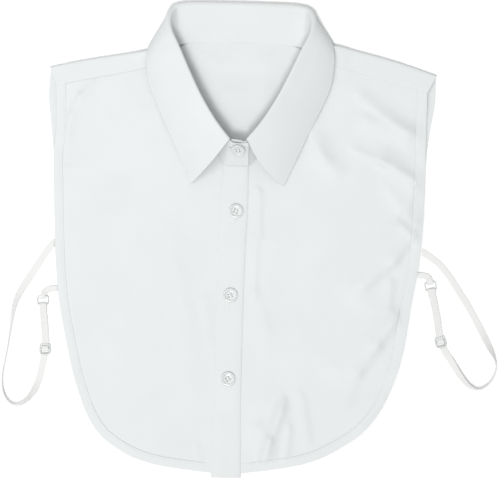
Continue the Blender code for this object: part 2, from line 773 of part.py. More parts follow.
def make_buttons():
    """Three buttons down the placket and one on the neckband."""
    for name, x, y in PLACKET_BUTTONS:
        make_button(name, Vector((x * MM, y * MM, PLACKET_TOP_Z)), Vector((0.0, 0.0, 1.0)))
    rows = stand_rows()
    share = (len(rows) - 2) / (len(rows) - 1)
    base, seam, _ = stand_line(share)
    rise = seam - base
    normal = Vector((0.0, -rise.z, rise.y)).normalized()
    on_band = base + rise * BAND_BUTTON_SHARE + normal * COLLAR_WALL / 2.0
    on_band.x = COLLAR_CENTRE_X
    make_button("button_1", on_band, normal)


def ribbon(name, route, width, colour):
    """A flat strap along a route of points and widthways directions."""
    bm = bmesh.new()

    def corner(column, row):
        point, across = route[column]
        return point + across * width * (row - 0.5)

    new_grid(bm, len(route) - 1, 1, corner)
    return cloth_object(name, bm, STRAP_WALL, 0.0, colour)


def doubled(route, bar, ahead, stop_at, clearance):
    """Carry a strap's route ahead round a ring's bar and back above itself, as far as stop_at."""
    across = Vector((-ahead.y, ahead.x, 0.0))
    centre = Vector((bar.x, bar.y, RING_Z))
    bend = []
    for i in range(BEND_STEPS + 1):
        angle = -math.pi / 2.0 + math.pi * i / BEND_STEPS
        turn = ahead * math.cos(angle) + Vector((0.0, 0.0, math.sin(angle)))
        bend.append((centre + turn * HAIRPIN_RADIUS, across))
    back = []
    for point, width_direction in reversed(route):
        if (point - stop_at).length < clearance:
            break
        away = math.hypot(point.x - bar.x, point.y - bar.y)
        narrow = ease(0.0, HAIRPIN_TAPER, away)
        apart = 2.0 * HAIRPIN_RADIUS * (1.0 - narrow) + (STRAP_WALL + SEAM_GAP) * narrow
        back.append((point + Vector((0.0, 0.0, apart)), width_direction))
    return route + bend + back


def level_route(rows, per_row):
    """Route through rows of x, y and roll, resting on the surface at each point."""
    steps = per_row * (len(rows) - 1)
    route = []
    for i in range(steps + 1):
        x, y, roll = smooth(rows, i / steps)
        ahead = smooth(rows, min((i + SLOPE_STEP) / steps, 1.0))
        behind = smooth(rows, max((i - SLOPE_STEP) / steps, 0.0))
        along = Vector((ahead[0] - behind[0], ahead[1] - behind[1], 0.0)).normalized()
        level = Vector((-along.y, along.x, 0.0))
        along_edge = Vector((0.0, math.copysign(1.0, level.y), 0.0))
        level = along_edge.lerp(level, ease(0.0, EDGE_TURN_STEPS, i)).normalized()
        angle = math.radians(roll)
        across = level * math.cos(angle) + Vector((0.0, 0.0, math.sin(angle)))
        rise = abs(math.sin(angle)) * STRAP_WIDTH / 2.0 + abs(math.cos(angle)) * STRAP_WALL / 2.0
        route.append((Vector((x * MM, y * MM, rise)), across))
    return route


def make_ring(name, x, y, turn):
    """An oblong ring of round bar, lying level between the strap and the tab."""
    curve = bpy.data.curves.new(name, "CURVE")
    curve.dimensions = "3D"
    curve.bevel_depth = RING_BAR_RADIUS
    curve.bevel_resolution = 2
    spline = curve.splines.new("POLY")
    corners = ((1, 1), (-1, 1), (-1, -1), (1, -1))
    points = []
    for quarter, (sx, sy) in enumerate(corners):
        for i in range(4):
            angle = math.radians(90.0 * quarter + 30.0 * i)
            cx = sx * (RING_LONG / 2.0 - RING_CORNER)
            cy = sy * (RING_SHORT / 2.0 - RING_CORNER)
            points.append((cx + RING_CORNER * math.cos(angle), cy + RING_CORNER * math.sin(angle)))
    spline.points.add(len(points) - 1)
    for point, (px, py) in zip(spline.points, points):
        point.co = (px, py, 0.0, 1.0)
    spline.use_cyclic_u = True
    part = bpy.data.objects.new(name, curve)
    finish(part, PLASTIC_COLOUR, PLASTIC_ROUGHNESS)
    part.location = (x * MM, y * MM, RING_Z)
    part.rotation_euler = (0.0, 0.0, math.radians(turn - 90.0))
    return part


def make_slider(name, x, y, turn):
    """A flat moulded slider with two slots, lying on the strap that runs through it."""
    curve = bpy.data.curves.new(name, "CURVE")
    curve.dimensions = "2D"
    curve.fill_mode = "BOTH"
    curve.extrude = SLIDER_WALL / 2.0
    half = SLIDER_SIZE / 2.0
    inner = half - SLIDER_BAR
    bar = SLIDER_BAR / 2.0
    boxes = (
        (-half, -half, half, half, SLIDER_CORNER),
        (-inner, bar, inner, inner, SLOT_CORNER),
        (-inner, -inner, inner, -bar, SLOT_CORNER),
    )
    for x0, y0, x1, y1, corner in boxes:
        spline = curve.splines.new("POLY")
        points = []
        centres = ((x1 - corner, y1 - corner), (x0 + corner, y1 - corner),
                   (x0 + corner, y0 + corner), (x1 - corner, y0 + corner))
        for quarter, (cx, cy) in enumerate(centres):
            for i in range(3):
                angle = math.radians(90.0 * quarter + 45.0 * i)
                points.append((cx + corner * math.cos(angle), cy + corner * math.sin(angle)))
        spline.points.add(len(points) - 1)
        for point, (px, py) in zip(spline.points, points):
            point.co = (px, py, 0.0, 1.0)
        spline.use_cyclic_u = True
    part = bpy.data.objects.new(name, curve)
    finish(part, PLASTIC_COLOUR, PLASTIC_ROUGHNESS)
    part.location = (x * MM, y * MM, STRAP_WALL + SEAM_GAP + SLIDER_WALL / 2.0)
    part.rotation_euler = (0.0, 0.0, math.radians(turn - 90.0))
    return part


def make_strap_set(side_name, rows, ring, slider, tab):
    """One side's elastic strap with its slider, its ring and the tab that holds the ring."""
    x, y, turn = ring
    heading = Vector((math.cos(math.radians(turn)), math.sin(math.radians(turn)), 0.0))
    middle = Vector((x * MM, y * MM, RING_Z))
    reach = heading * RING_SHORT / 2.0
    slider_place = Vector((slider[0] * MM, slider[1] * MM, 0.0))
    stop_short = SLIDER_SIZE / 2.0 + STRAP_WALL
    strap = doubled(level_route(rows, 3), middle - reach, heading, slider_place, stop_short)
    ribbon(f"strap_{side_name}", strap, STRAP_WIDTH, ELASTIC_COLOUR)
    tab_rows = [(*point, 0.0) for point in tab]
    tab_start = Vector((tab[0][0] * MM, tab[0][1] * MM, 0.0))
    loop = doubled(level_route(tab_rows, 2), middle + reach, -heading, tab_start, 0.0)
    ribbon(f"tab_{side_name}", loop, TAB_WIDTH, ELASTIC_COLOUR)
    make_ring(f"ring_{side_name}", *ring)
    make_slider(f"slider_{side_name}", *slider)


for old in list(bpy.data.objects):
    bpy.data.objects.remove(old, do_unlink=True)

COLLECTION = bpy.data.collections.new("detachable_shirt_collar")
CUTTERS = bpy.data.collections.new("cutters")
bpy.context.scene.collection.children.link(COLLECTION)
bpy.context.scene.collection.children.link(CUTTERS)

make_back()
make_front("front_right", -1)
make_front("front_left", 1)
make_plackets()
make_stand()
make_leaf()
make_buttons()
make_strap_set("right", STRAP_RIGHT, RING_RIGHT, SLIDER_RIGHT, TAB_RIGHT)
make_strap_set("left", STRAP_LEFT, RING_LEFT, SLIDER_LEFT, TAB_LEFT)
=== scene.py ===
"""The look of a detachable shirt collar: a white cotton half shirt laid flat with its front up.

The surface that it lies on is z = 0. The wearer's head end is +Y, and the buttoned fronts face +Z.
Tables are in millimetres; everything else is in metres.
"""
import math

import bmesh
import bpy
import numpy as np
from mathutils import Matrix, Vector, noise


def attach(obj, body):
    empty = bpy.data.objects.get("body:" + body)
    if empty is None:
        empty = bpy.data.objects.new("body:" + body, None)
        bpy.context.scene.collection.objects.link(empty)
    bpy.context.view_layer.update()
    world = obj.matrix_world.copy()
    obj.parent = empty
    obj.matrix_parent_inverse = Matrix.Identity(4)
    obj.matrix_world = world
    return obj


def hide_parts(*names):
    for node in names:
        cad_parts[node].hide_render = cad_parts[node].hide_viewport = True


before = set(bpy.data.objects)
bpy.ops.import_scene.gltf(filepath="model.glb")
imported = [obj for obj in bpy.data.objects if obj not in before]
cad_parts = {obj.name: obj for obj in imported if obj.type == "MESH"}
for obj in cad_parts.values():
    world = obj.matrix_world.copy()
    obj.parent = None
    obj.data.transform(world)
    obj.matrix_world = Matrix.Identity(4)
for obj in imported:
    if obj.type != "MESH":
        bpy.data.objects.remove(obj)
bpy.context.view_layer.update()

MM = 0.001

CLOTH_WALL = 1.0 * MM
COLLAR_WALL = 1.2 * MM
SEAM_GAP = 0.3 * MM

BACK_INSIDE_Z = CLOTH_WALL
FRONT_TOP_Z = BACK_INSIDE_Z + SEAM_GAP + CLOTH_WALL
PLACKET_TOP_Z = FRONT_TOP_Z + SEAM_GAP + CLOTH_WALL

HEM_WIDTH = 7.5 * MM
HEM_STEP_WIDTH = 1.5 * MM
HEM_RAISE = 0.65 * MM
HEM_RAISE_BETWEEN = (7.4, 8.4)
HEM_TROUGH = 0.34 * MM
HEM_TROUGH_WIDTH = 0.5
HEM_GROOVE_AT = 8.7
HEM_GROOVE_WIDTH = 0.35
HEM_PUCKER = 0.3 * MM
HEM_PUCKER_MIDDLE = 7.0
HEM_PUCKER_WIDTH = 4.0
HEM_ROLL = 0.15 * MM
HEM_ROLL_WIDTH = 1.6
HEM_FADE = 14.0 * MM

COLLAR_CENTRE_X = -2.0 * MM
LEAF_LIP = 1.0 * MM
LEAF_LEAVE = 0.55
LEAF_ARRIVE = 1.1
LEAF_BULGE = 1.5 * MM
LEAF_STRAIGHT_LEAN = (14.0, 68.0)
LEAF_BOW_LEFT = 1.2 * MM
LEAF_BOW_RIGHT = 3.8 * MM
LEAF_BOW_SHARE = 0.07
NECK_LIFT = 1.7 * MM
NECK_LIFT_Y = (145.0, 156.0)
NECK_LIFT_X = (86.0, 98.0)
PANEL_SPLIT_Y = -60.0

SHOULDER_RISE = 1.1 * MM
SHOULDER_RISE_LENGTH = 34.0
SHOULDER_SLOPE = 0.205
SHOULDER_SEAM_Y = 166.3

BUTTON_DIAMETER = 12.5 * MM
BUTTON_THICKNESS = 2.4 * MM
BUTTON_DISH_DEPTH = 0.7 * MM
BUTTON_RIM_WIDTH = 2.2 * MM
BUTTON_DISH_SIDE = 0.9 * MM
BUTTON_EDGE_REACH = 0.75 * MM
BUTTON_FOOT_INSET = 2.0 * MM
BUTTON_HOLE_RADIUS = 0.8 * MM
BUTTON_STANDS_OFF = SEAM_GAP + 0.1 * MM
BUTTON_STEPS = 48
BUTTON_HOLE_SPREAD = 1.7 * MM
BAND_BUTTON_SHARE = 0.77
BUTTONHOLE_HALF = 7.0 * MM
BUTTONHOLE_STITCHES = 44

STRAP_WIDTH = 6.0 * MM
STRAP_WALL = 1.0 * MM
TAB_WIDTH = 5.0 * MM
RING_BAR_RADIUS = 0.65 * MM
RING_LONG = 9.4 * MM
RING_SHORT = 7.0 * MM
RING_CORNER = 1.5 * MM
RING_Z = 2.0 * MM
SLIDER_SIZE = 10.0 * MM
SLIDER_CORNER = 2.0 * MM
SLIDER_Z = 2.1 * MM
STRAP_UNDER_SLIDER = 2.2 * MM

# Outer edge of the laid panels from the shoulder tip down to the hem's middle.
OUTLINE = (
    # left x, left y, right x, right y
    (-169.3, 148.0, 171.2, 148.8),
    (-169.5, 122.0, 169.9, 123.0),
    (-166.6, 95.0, 165.9, 96.5),
    (-163.9, 68.0, 163.2, 67.0),
    (-162.0, 17.0, 162.0, 17.0),
    (-160.0, -20.0, 159.3, -18.0),
    (-156.1, -57.0, 153.3, -56.0),
    (-149.0, -92.0, 147.6, -95.0),
    (-140.3, -127.0, 138.5, -127.0),
    (-126.2, -161.8, 122.0, -157.5),
    (-107.2, -182.4, 100.4, -177.1),
    (-72.4, -198.2, 63.9, -195.2),
    (-18.0, -205.4, 9.8, -205.4),
)

# Armhole edge of the fronts, which lies inside the back's, from the shoulder seam down.
FRONT_ARMHOLE = (
    # left x, left y, right x, right y
    (-162.9, 132.3, 163.1, 133.2),
    (-162.1, 101.0, 163.0, 101.0),
    (-162.6, 82.0, 163.0, 82.0),
)
FRONT_JOINS_OUTLINE_AT = 3

# The shoulders' folded edges, and the seams that lie in front of them, from the neck out.
SHOULDER = (
    # left fold x, y, left seam x, y, right fold x, y, right seam x, y, fold radius
    (-60.6, 166.6, -62.2, 154.0, 56.6, 171.0, 58.4, 160.8, 2.7),
    (-83.4, 164.7, -84.0, 149.3, 78.4, 173.3, 82.4, 154.5, 2.6),
    (-111.5, 160.0, -108.0, 143.6, 105.0, 167.9, 104.0, 148.8, 2.5),
    (-143.0, 154.2, -134.0, 138.4, 138.0, 159.4, 132.0, 141.4, 2.3),
    (-169.3, 148.0, -162.9, 132.3, 171.2, 148.8, 163.1, 133.2, 2.0),
)

# Neckline of the fronts from the placket to the shoulder seam, measured from the collar's middle.
FRONT_NECKLINE = (
    # half width, y
    (15.0, 70.0),
    (31.0, 87.0),
    (47.0, 112.0),
    (57.6, 138.0),
    (60.2, 154.0),
)

# Neckline of the back from its middle to the shoulder fold, measured from the collar's middle.
BACK_NECKLINE = (
    # half width, y
    (0.0, 175.4),
    (28.0, 174.9),
    (44.0, 172.8),
    (54.0, 168.0),
    (58.6, 163.7),
)

# The collar from the middle of the back to the front end of its leaf, all measured from its middle.
COLLAR = (
    # base x, base y, base z, roll x, roll y, roll z, edge x, edge y, edge z, lean, roll radius
    (0.0, 173.4, 3.0, 0.0, 209.2, 4.0, 0.0, 165.4, 0.0, 90.0, 4.0),
    (26.0, 172.7, 3.0, 27.0, 209.0, 4.0, 29.0, 165.2, 0.0, 90.0, 4.0),
    (44.0, 171.3, 3.2, 48.0, 208.4, 4.4, 53.0, 165.6, 0.0, 86.0, 4.0),
    (52.0, 170.0, 3.6, 60.2, 204.6, 8.0, 69.0, 167.6, 0.2, 68.0, 3.4),
    (55.4, 167.8, 4.2, 64.9, 195.0, 16.0, 80.5, 168.6, 2.6, 42.0, 2.6),
    (57.4, 163.6, 4.6, 62.4, 182.0, 23.0, 81.6, 161.6, 8.8, 14.0, 2.0),
    (58.6, 153.6, 4.2, 54.6, 166.6, 27.0, 81.9, 150.6, 8.6, 0.0, 1.8),
    (56.0, 138.0, 3.2, 45.8, 148.4, 28.0, 79.5, 134.6, 5.6, -14.0, 1.8),
    (45.4, 112.6, 2.6, 34.3, 125.6, 28.0, 70.3, 112.4, 5.2, -24.0, 1.8),
    (29.4, 87.6, 2.6, 20.8, 104.0, 27.6, 57.9, 86.0, 5.2, -31.0, 1.8),
    (12.0, 69.6, 3.8, 7.4, 87.4, 26.8, 40.8, 48.2, 4.6, -35.0, 1.8),
)

# Outer edge of the leaf where it crosses the right shoulder, which lies higher than the left one.
LEAF_OVER_RIGHT_SHOULDER = (
    # row of the collar's table, edge x, edge y, edge z
    (3, 68.6, 170.4, 0.2),
    (4, 78.6, 177.4, 2.6),
    (5, 81.6, 169.6, 9.6),
    (6, 82.6, 156.6, 9.6),
)

# Foot of the neckband at the right front end of the leaf, where its overlapping end starts.
BAND_OVER_START = (-12.0, 68.0, 4.6)

# Ends of the neckband past the leaf. The left one laps over the right one.
BAND_OVER_END = (
    # base x, base y, base z, roll x, roll y, roll z, lean, roll radius
    (2.6, 66.4, 5.4, 0.6, 84.4, 27.4, -35.0, 1.8),
    (-9.6, 66.2, 5.2, -9.2, 85.4, 27.2, -35.0, 1.8),
)
BAND_UNDER_END = (
    # base x, base y, base z, roll x, roll y, roll z, lean, roll radius
    (4.0, 70.6, 3.4, 2.2, 87.2, 26.0, -35.0, 1.8),
    (-5.6, 70.8, 3.4, -5.8, 88.2, 25.6, -35.0, 1.8),
)

# Long edges of the top placket, and the middles of the buttons on it.
PLACKET = (
    # y, left x, right x
    (68.2, -15.2, 7.8),
    (25.0, -16.8, 8.0),
    (-9.0, -17.4, 6.6),
    (-60.0, -17.8, 6.0),
    (-140.0, -18.4, 5.9),
    (-209.2, -18.6, 7.4),
)
PLACKET_BUTTONS = (
    # name, x, y
    ("button_2", -2.4, 25.4),
    ("button_3", -5.4, -48.7),
    ("button_4", -5.7, -122.2),
)
PLACKET_LAP = 1.5 * MM
UNDER_PLACKET_INSET = 1.2 * MM
UNDER_PLACKET_TOP_Y = 70.0 * MM
UNDER_PLACKET_END_Y = -205.0 * MM

# Soft folds of the fronts and of the back's inside, as ridges between two ends. A ridge falls
# over its own half width on each side, so that one flank is steeper than the other.
FOLDS = (
    # x, y, end x, end y, half width on the left of the way, half width on its right, height
    (112.0, 107.0, 145.0, 96.0, 9.0, 9.0, 1.6),
    (126.0, 77.0, 149.0, 54.0, 9.0, 9.0, 1.4),
    (140.0, 10.0, 106.0, -41.0, 11.0, 11.0, 1.8),
    (134.0, -70.0, 92.0, -112.0, 11.0, 11.0, 1.6),
    (70.0, 80.0, 84.0, 62.0, 9.0, 9.0, 1.2),
    (22.0, -166.0, 30.0, -190.0, 7.0, 7.0, 1.4),
    (42.0, -150.0, 34.0, -184.0, 7.0, 7.0, 1.2),
    (-138.0, 122.0, -156.0, 88.0, 8.0, 8.0, 1.4),
    (-56.0, 0.0, -50.0, -90.0, 12.0, 12.0, 0.8),
    (-92.0, 118.0, -74.0, 96.0, 10.0, 10.0, 0.9),
)
CREASES = (
    # x, y, end x, end y, half width on the left of the way, half width on its right, height
    (-131.1, 134.8, -142.2, 123.0, 4.0, 2.2, 0.7),
    (-142.2, 123.0, -149.7, 106.1, 4.0, 2.2, 0.7),
    (-149.7, 106.1, -153.1, 82.3, 4.0, 2.2, 0.5),
    (61.1, 91.2, 73.0, 70.4, 7.0, 3.0, 1.0),
    (106.0, 125.8, 147.2, 96.9, 8.0, 3.6, 1.1),
    (101.8, 79.9, 125.0, 70.0, 5.0, 2.6, 0.8),
    (125.0, 70.0, 151.7, 56.5, 5.0, 2.6, 0.9),
    (130.8, 47.2, 152.7, 19.6, 9.0, 4.0, 1.0),
    (152.7, 47.9, 142.6, 16.8, 6.0, 2.4, 0.8),
    (142.6, 16.8, 153.6, 4.0, 5.0, 2.4, 0.8),
    (153.8, 10.8, 137.7, -16.0, 4.0, 7.0, 0.9),
    (137.7, -16.0, 111.9, -37.8, 4.0, 8.0, 0.9),
    (135.6, -35.4, 133.5, -58.4, 3.0, 5.0, 0.9),
    (140.7, -65.2, 124.7, -91.1, 3.6, 7.0, 1.1),
    (124.7, -91.1, 108.6, -115.3, 3.6, 7.0, 1.1),
    (108.6, -115.3, 98.6, -140.2, 4.0, 7.0, 0.7),
    (44.1, -141.6, 32.6, -175.3, 3.0, 5.0, 1.2),
    (32.6, -175.3, 27.8, -194.0, 2.6, 4.0, 1.2),
    (59.8, -137.7, 66.0, -174.5, 3.6, 6.0, 0.7),
    (49.9, -164.3, 47.0, -189.1, 2.6, 4.0, 0.9),
    (17.8, 42.5, 18.7, 3.8, 2.6, 4.4, 0.8),
    (16.3, 0.2, 15.8, -52.6, 2.6, 4.0, 0.5),
    (18.8, -48.9, 26.6, -78.7, 5.0, 7.0, 0.5),
    (-59.9, 0.1, -45.9, -62.9, 8.0, 5.0, 0.4),
    (-29.5, -53.7, -21.4, -94.0, 6.0, 3.6, 0.5),
    (-152.9, 59.4, -142.4, 59.7, 2.4, 2.4, 0.3),
    (-75.3, 123.0, -71.2, 102.0, 4.0, 4.0, 0.4),
    (-46.6, 65.6, -43.5, 48.1, 3.0, 5.0, 0.5),
    (-32.4, -181.4, -28.5, -196.3, 2.6, 2.6, 0.6),
    (132.0, -137.6, 111.5, -161.0, 3.0, 5.0, 0.6),
    (51.6, 115.6, 71.7, 89.7, 8.0, 6.0, 0.5),
)
NECK_FOLDS = (
    # x, y, end x, end y, half width on the left of the way, half width on its right, height
    (-30.0, 150.0, -6.0, 118.0, 12.0, 8.0, 1.0),
    (24.0, 168.0, 22.0, 130.0, 4.0, 9.0, 0.6),
    (-14.0, 128.0, 26.0, 132.0, 8.0, 10.0, 0.9),
    (-40.0, 168.0, -26.0, 160.0, 3.0, 6.0, 0.5),
    (34.0, 166.0, 44.0, 168.0, 5.0, 3.0, 0.5),
)

# The wearer's right strap from the side edge round its loop and up to the ring, then its ring and
# slider as x, y and heading in degrees, and the middle line of its tab from the side edge.
STRAP_RIGHT = (
    # x, y, roll in degrees
    (-161.5, -6.0, 0.0),
    (-164.4, -9.4, 0.0),
    (-168.6, -15.2, 0.0),
    (-174.6, -24.6, 4.0),
    (-182.6, -37.2, 10.0),
    (-190.8, -51.0, 26.0),
    (-195.8, -65.0, 56.0),
    (-198.4, -84.4, 80.0),
    (-200.8, -103.0, 88.0),
    (-203.6, -119.6, 90.0),
    (-204.2, -131.0, 90.0),
    (-201.8, -141.4, 90.0),
    (-196.2, -148.6, 86.0),
    (-189.6, -149.8, 80.0),
    (-182.6, -146.0, 66.0),
    (-176.6, -138.4, 40.0),
    (-172.6, -129.0, 10.0),
    (-170.2, -118.0, 0.0),
    (-168.0, -106.0, 0.0),
    (-167.0, -94.0, 0.0),
    (-168.4, -78.0, 0.0),
    (-169.8, -66.0, 0.0),
)
RING_RIGHT = (-170.2, -57.6, 94.0)
SLIDER_RIGHT = (-167.2, -100.4, 92.0)
TAB_RIGHT = ((-157.9, -46.8), (-162.6, -47.2), (-167.0, -48.8), (-169.8, -51.4))

# The wearer's left strap, in the same order.
STRAP_LEFT = (
    # x, y, roll in degrees
    (162.2, -6.6, 0.0),
    (165.6, -8.6, 0.0),
    (170.6, -11.8, 0.0),
    (178.8, -18.4, 0.0),
    (187.6, -29.0, 0.0),
    (196.6, -42.6, 0.0),
    (205.8, -56.6, 0.0),
    (215.0, -73.0, -4.0),
    (223.0, -88.0, -30.0),
    (228.2, -98.6, -66.0),
    (229.4, -107.4, -88.0),
    (226.6, -116.4, -90.0),
    (221.0, -123.2, -90.0),
    (213.8, -126.4, -84.0),
    (206.2, -123.4, -62.0),
    (198.4, -114.6, -44.0),
    (190.6, -102.8, -20.0),
    (184.2, -93.0, 0.0),
    (179.6, -82.6, 0.0),
    (177.2, -68.0, 0.0),
    (174.6, -55.0, 0.0),
    (171.9, -44.6, 0.0),
)
RING_LEFT = (170.2, -36.6, 102.0)
SLIDER_LEFT = (180.2, -85.4, 106.0)
TAB_LEFT = ((159.0, -27.4), (163.6, -27.6), (167.4, -28.8), (169.0, -31.0))

HAIRPIN_RADIUS = RING_BAR_RADIUS + SEAM_GAP + STRAP_WALL / 2.0
HAIRPIN_TAPER = 7.0 * MM
BEND_STEPS = 6
EDGE_TURN_STEPS = 6


NECK_SHARE = 1.0 / 3.0
SLOPE_STEP = 0.2
CREASES_LEFT = 1.6
CREASES_RIGHT = 2.2
FOLDS_RIGHT = 2.1

HEM_LAYER_WALL = 0.95 * MM
CLOTH_LAYER_WALL = 0.45 * MM
SHOWN_COLLAR_WALL = 1.0 * MM
OUTER_LIFT = 0.12 * MM
SEAM_STEP_LEFT = 0.9 * MM
SEAM_STEP_RIGHT = 0.55 * MM
SEAM_LAP = 3.0 * MM

# Distances from a panel's edge at which it has a row of its grid: the hem, its stitch line and its end.
HEM_ROWS = (10.6, 9.4, 9.0, 8.7, 8.4, 8.1, 7.8, 7.3, 6.9, 6.5, 5.9, 4.6, 3.2, 1.8, 0.8, 0.0)
STITCH_DEPTH_IN = 6.9
HEM_GROOVE = 0.3 * MM
HEM_GROOVE_BELOW = 0.35 * MM
HEM_GROOVE_Y = (-175.0, -135.0)
STITCH_ROW = HEM_ROWS.index(STITCH_DEPTH_IN)
INNER_ROWS = 54
NECK_INNER_ROWS = 18
PANEL_STEPS = 170
FOLD_STEPS = 12
FLAP_STEPS = 9

STITCH_PITCH = 1.9 * MM
STITCH_LENGTH = 1.5 * MM
THREAD_RADIUS = 0.17 * MM
BATCH = 25

IMAGE_SIZE = (500, 478)
SCALE = 0.88 * MM
PHOTO_TURN = math.radians(1.45)
CAMERA_HEIGHT = 2.2
SENSOR_WIDTH = 36.0
VIEW_CENTRE = (0.0105, 0.0010)

SURFACE_CLEARANCE = 0.03 * MM

LEAF_ROWS_LIP = 2
LEAF_ROWS_ROLL = 12
LEAF_EDGE_ROWS = (7.0, 5.2, 4.2, 3.6, 3.1, 2.6, 2.1, 1.6, 1.1, 0.5, 0.0)
LEAF_STITCH_IN = 2.6
LEAF_END_COLUMNS = (0.0, 0.5, 1.1, 1.6, 2.1, 2.6, 3.1, 3.6, 4.2, 5.2, 7.0)
LEAF_COLUMNS = 230
LEAF_DRAPE_ROWS = 16
LEAF_ROW_STRETCH = 1.12
LEAF_SAMPLES = 400
LEAF_TROUGH = 0.1
LEAF_TROUGH_WIDTH = 0.6
LEAF_SOFT = 0.7
LEAF_SOFT_FROM = 8.0
LEAF_SOFT_PITCH = 1.4
LEAF_SEED = 21.0

STAND_ROW_MARKS = (0.0, 0.6, 1.2, 1.6, 2.0, 2.6, 3.6)
STAND_STITCH_IN = 1.6
STAND_COLUMNS = 250
STAND_OVERLAP = 0.5 * MM
STAND_REACH_DOWN = -0.3 * MM
STAND_EDGE_SHARE = 0.35
STAND_INNER_ROWS = 10
STAND_LEVEL_BETWEEN = (0.55, 0.95)
STAND_FOOT_OUT = 1.6 * MM
STAND_FOOT_RISE = 0.3 * MM
STAND_TROUGH = 0.14
STAND_SEAM_THIN = 1.2
STAND_THIN_WIDTH = 5.0
TROUGH_WIDTH = 0.45

PLACKET_MARKS = (0.0, 0.5, 1.2, 1.9, 2.3, 2.7, 3.3, 4.2)
PLACKET_STITCH_IN = 2.3
PLACKET_STEPS = 150
PLACKET_EDGE_DROP = 0.8
PLACKET_LAYER_WALL = 1.3 * MM
PLACKET_LIFT = 0.2 * MM
UNDER_PLACKET_WALL = 0.8 * MM
PLACKET_INNER_COLUMNS = 8
PLACKET_TROUGH = 0.2
PLACKET_CROWN = 0.25
PLACKET_CROWN_BETWEEN = (2.6, 8.0)
PLACKET_SOFT = 0.3
PLACKET_SOFT_FROM = 6.0
PLACKET_EDGE_WIDTH = 2.2
PLACKET_SEED = 31.0

# Short ends of sewing thread that stick out below two buttons.
THREAD_TAILS = (
    # name, points as x, y, height above the placket
    ("button_2_thread_tail", ((-2.6, 20.2, 0.9), (-3.2, 17.6, 1.0), (-4.6, 15.4, 0.8), (-5.2, 13.4, 0.6))),
    ("button_2_thread_end", ((-1.8, 20.2, 0.9), (-1.6, 17.8, 1.0), (-2.6, 15.8, 0.8), (-2.4, 14.6, 0.6))),
    ("button_3_thread_tail", ((-6.0, -54.0, 0.9), (-6.4, -56.4, 0.9), (-5.8, -58.4, 0.6))),
)

RIB_PITCH = 1.95 * MM
STRAP_ACROSS = 12
SLIDER_BAR_RADIUS = 0.65 * MM
RING_SHOWN_RADIUS = 0.55 * MM
RIB_DEPTH = 0.9 * MM
RIBS_FROM = 0.80
RIBBON_WALL = 0.8 * MM
RIBBON_STEP = 0.3 * MM
OVER_BAR_REACH = 3.1 * MM
OVER_BAR_RISE = 1.5 * MM
OVER_BAR_WIDTH = 5.6 * MM
OVER_BAR_WALL = 0.7 * MM
OVER_BAR_STEPS = 16

STITCH_CLEAR_OF_EDGE = 1.0 * MM

SKY_STRENGTH = 0.48
LIGHTS = (
    # name, place, size, power
    ("key", (-0.6, -3.3, 8.8), 2.2, 470.0),
    ("fill", (-0.38, 0.2, 1.05), 0.7, 3.7),
)


def smooth(rows, share):
    """Point at a share from 0 to 1 of a smooth curve through the rows, with even steps per row."""
    last = len(rows) - 1
    place = min(max(share, 0.0), 1.0) * last
    index = min(int(place), last - 1)
    f = place - index
    before = rows[max(index - 1, 0)]
    after = rows[min(index + 2, last)]
    point = []
    for a, b, c, d in zip(before, rows[index], rows[index + 1], after):
        cubic = 3.0 * b - a - 3.0 * c + d
        square = 2.0 * a - 5.0 * b + 4.0 * c - d
        point.append(0.5 * (2.0 * b + (c - a) * f + square * f * f + cubic * f * f * f))
    return tuple(point)


def evenly(rows, steps=240):
    """A function of a share from 0 to 1 that moves at an even pace along the rows' x and y."""
    points = [smooth(rows, i / steps) for i in range(steps + 1)]
    lengths = [0.0]
    for a, b in zip(points, points[1:]):
        lengths.append(lengths[-1] + math.dist(a[:2], b[:2]))

    def at(share):
        target = min(max(share, 0.0), 1.0) * lengths[-1]
        low, high = 0, steps
        while high - low > 1:
            middle = (low + high) // 2
            if lengths[middle] <= target:
                low = middle
            else:
                high = middle
        span = max(lengths[high] - lengths[low], 1e-9)
        f = (target - lengths[low]) / span
        return tuple(a + (b - a) * f for a, b in zip(points[low], points[high]))

    return at


def trough(distance, at, depth, width):
    """Depth of a soft trough along a line, such as a row of stitches presses into cloth."""
    return depth * np.exp(-((distance - at) / width) ** 2)


def spaced(ends, length, inner):
    """Distances along a length: the same ones from both of its ends, and even steps between."""
    marks = list(ends)
    marks += [marks[-1] + (length - 2 * marks[-1]) * k / inner for k in range(1, inner)]
    return marks + [length - mark for mark in reversed(ends)]


def ease(low, high, value):
    """0 below low, 1 above high, and a smooth rise between them."""
    f = min(max((value - low) / (high - low), 0.0), 1.0)
    return f * f * (3.0 - 2.0 * f)


def side_rows(rows, side):
    """The left or the right pair of columns of an outline table."""
    return [row[:2] if side < 0 else row[2:4] for row in rows]


def placket_edge(y_mm, column):
    """x of the top placket's left (1) or right (2) edge at a height, in millimetres."""
    for upper, lower in zip(PLACKET, PLACKET[1:]):
        if y_mm >= lower[0]:
            f = (upper[0] - y_mm) / (upper[0] - lower[0])
            return upper[column] + (lower[column] - upper[column]) * f
    return PLACKET[-1][column]


def front_edge_x(y_mm, side):
    """x of a front's own edge under the top placket, where the right one meets the lower placket."""
    if side < 0:
        return placket_edge(y_mm, 1) + PLACKET_LAP / MM
    return placket_edge(y_mm, 2) + (SEAM_GAP - UNDER_PLACKET_INSET) / MM


def ridges(table, x, y):
    """Height in millimetres of a table of soft ridges at a point given in millimetres."""
    height = 0.0
    for x0, y0, x1, y1, left, right, peak in table:
        dx, dy = x1 - x0, y1 - y0
        square = dx * dx + dy * dy
        along = ((x - x0) * dx + (y - y0) * dy) / square
        near = min(max(along, 0.0), 1.0)
        distance = math.hypot(x - x0 - near * dx, y - y0 - near * dy)
        half_width = left if (x - x0) * dy - (y - y0) * dx < 0.0 else right
        if distance < 3.0 * half_width:
            height += peak * math.exp(-(distance / half_width) ** 2)
    return height


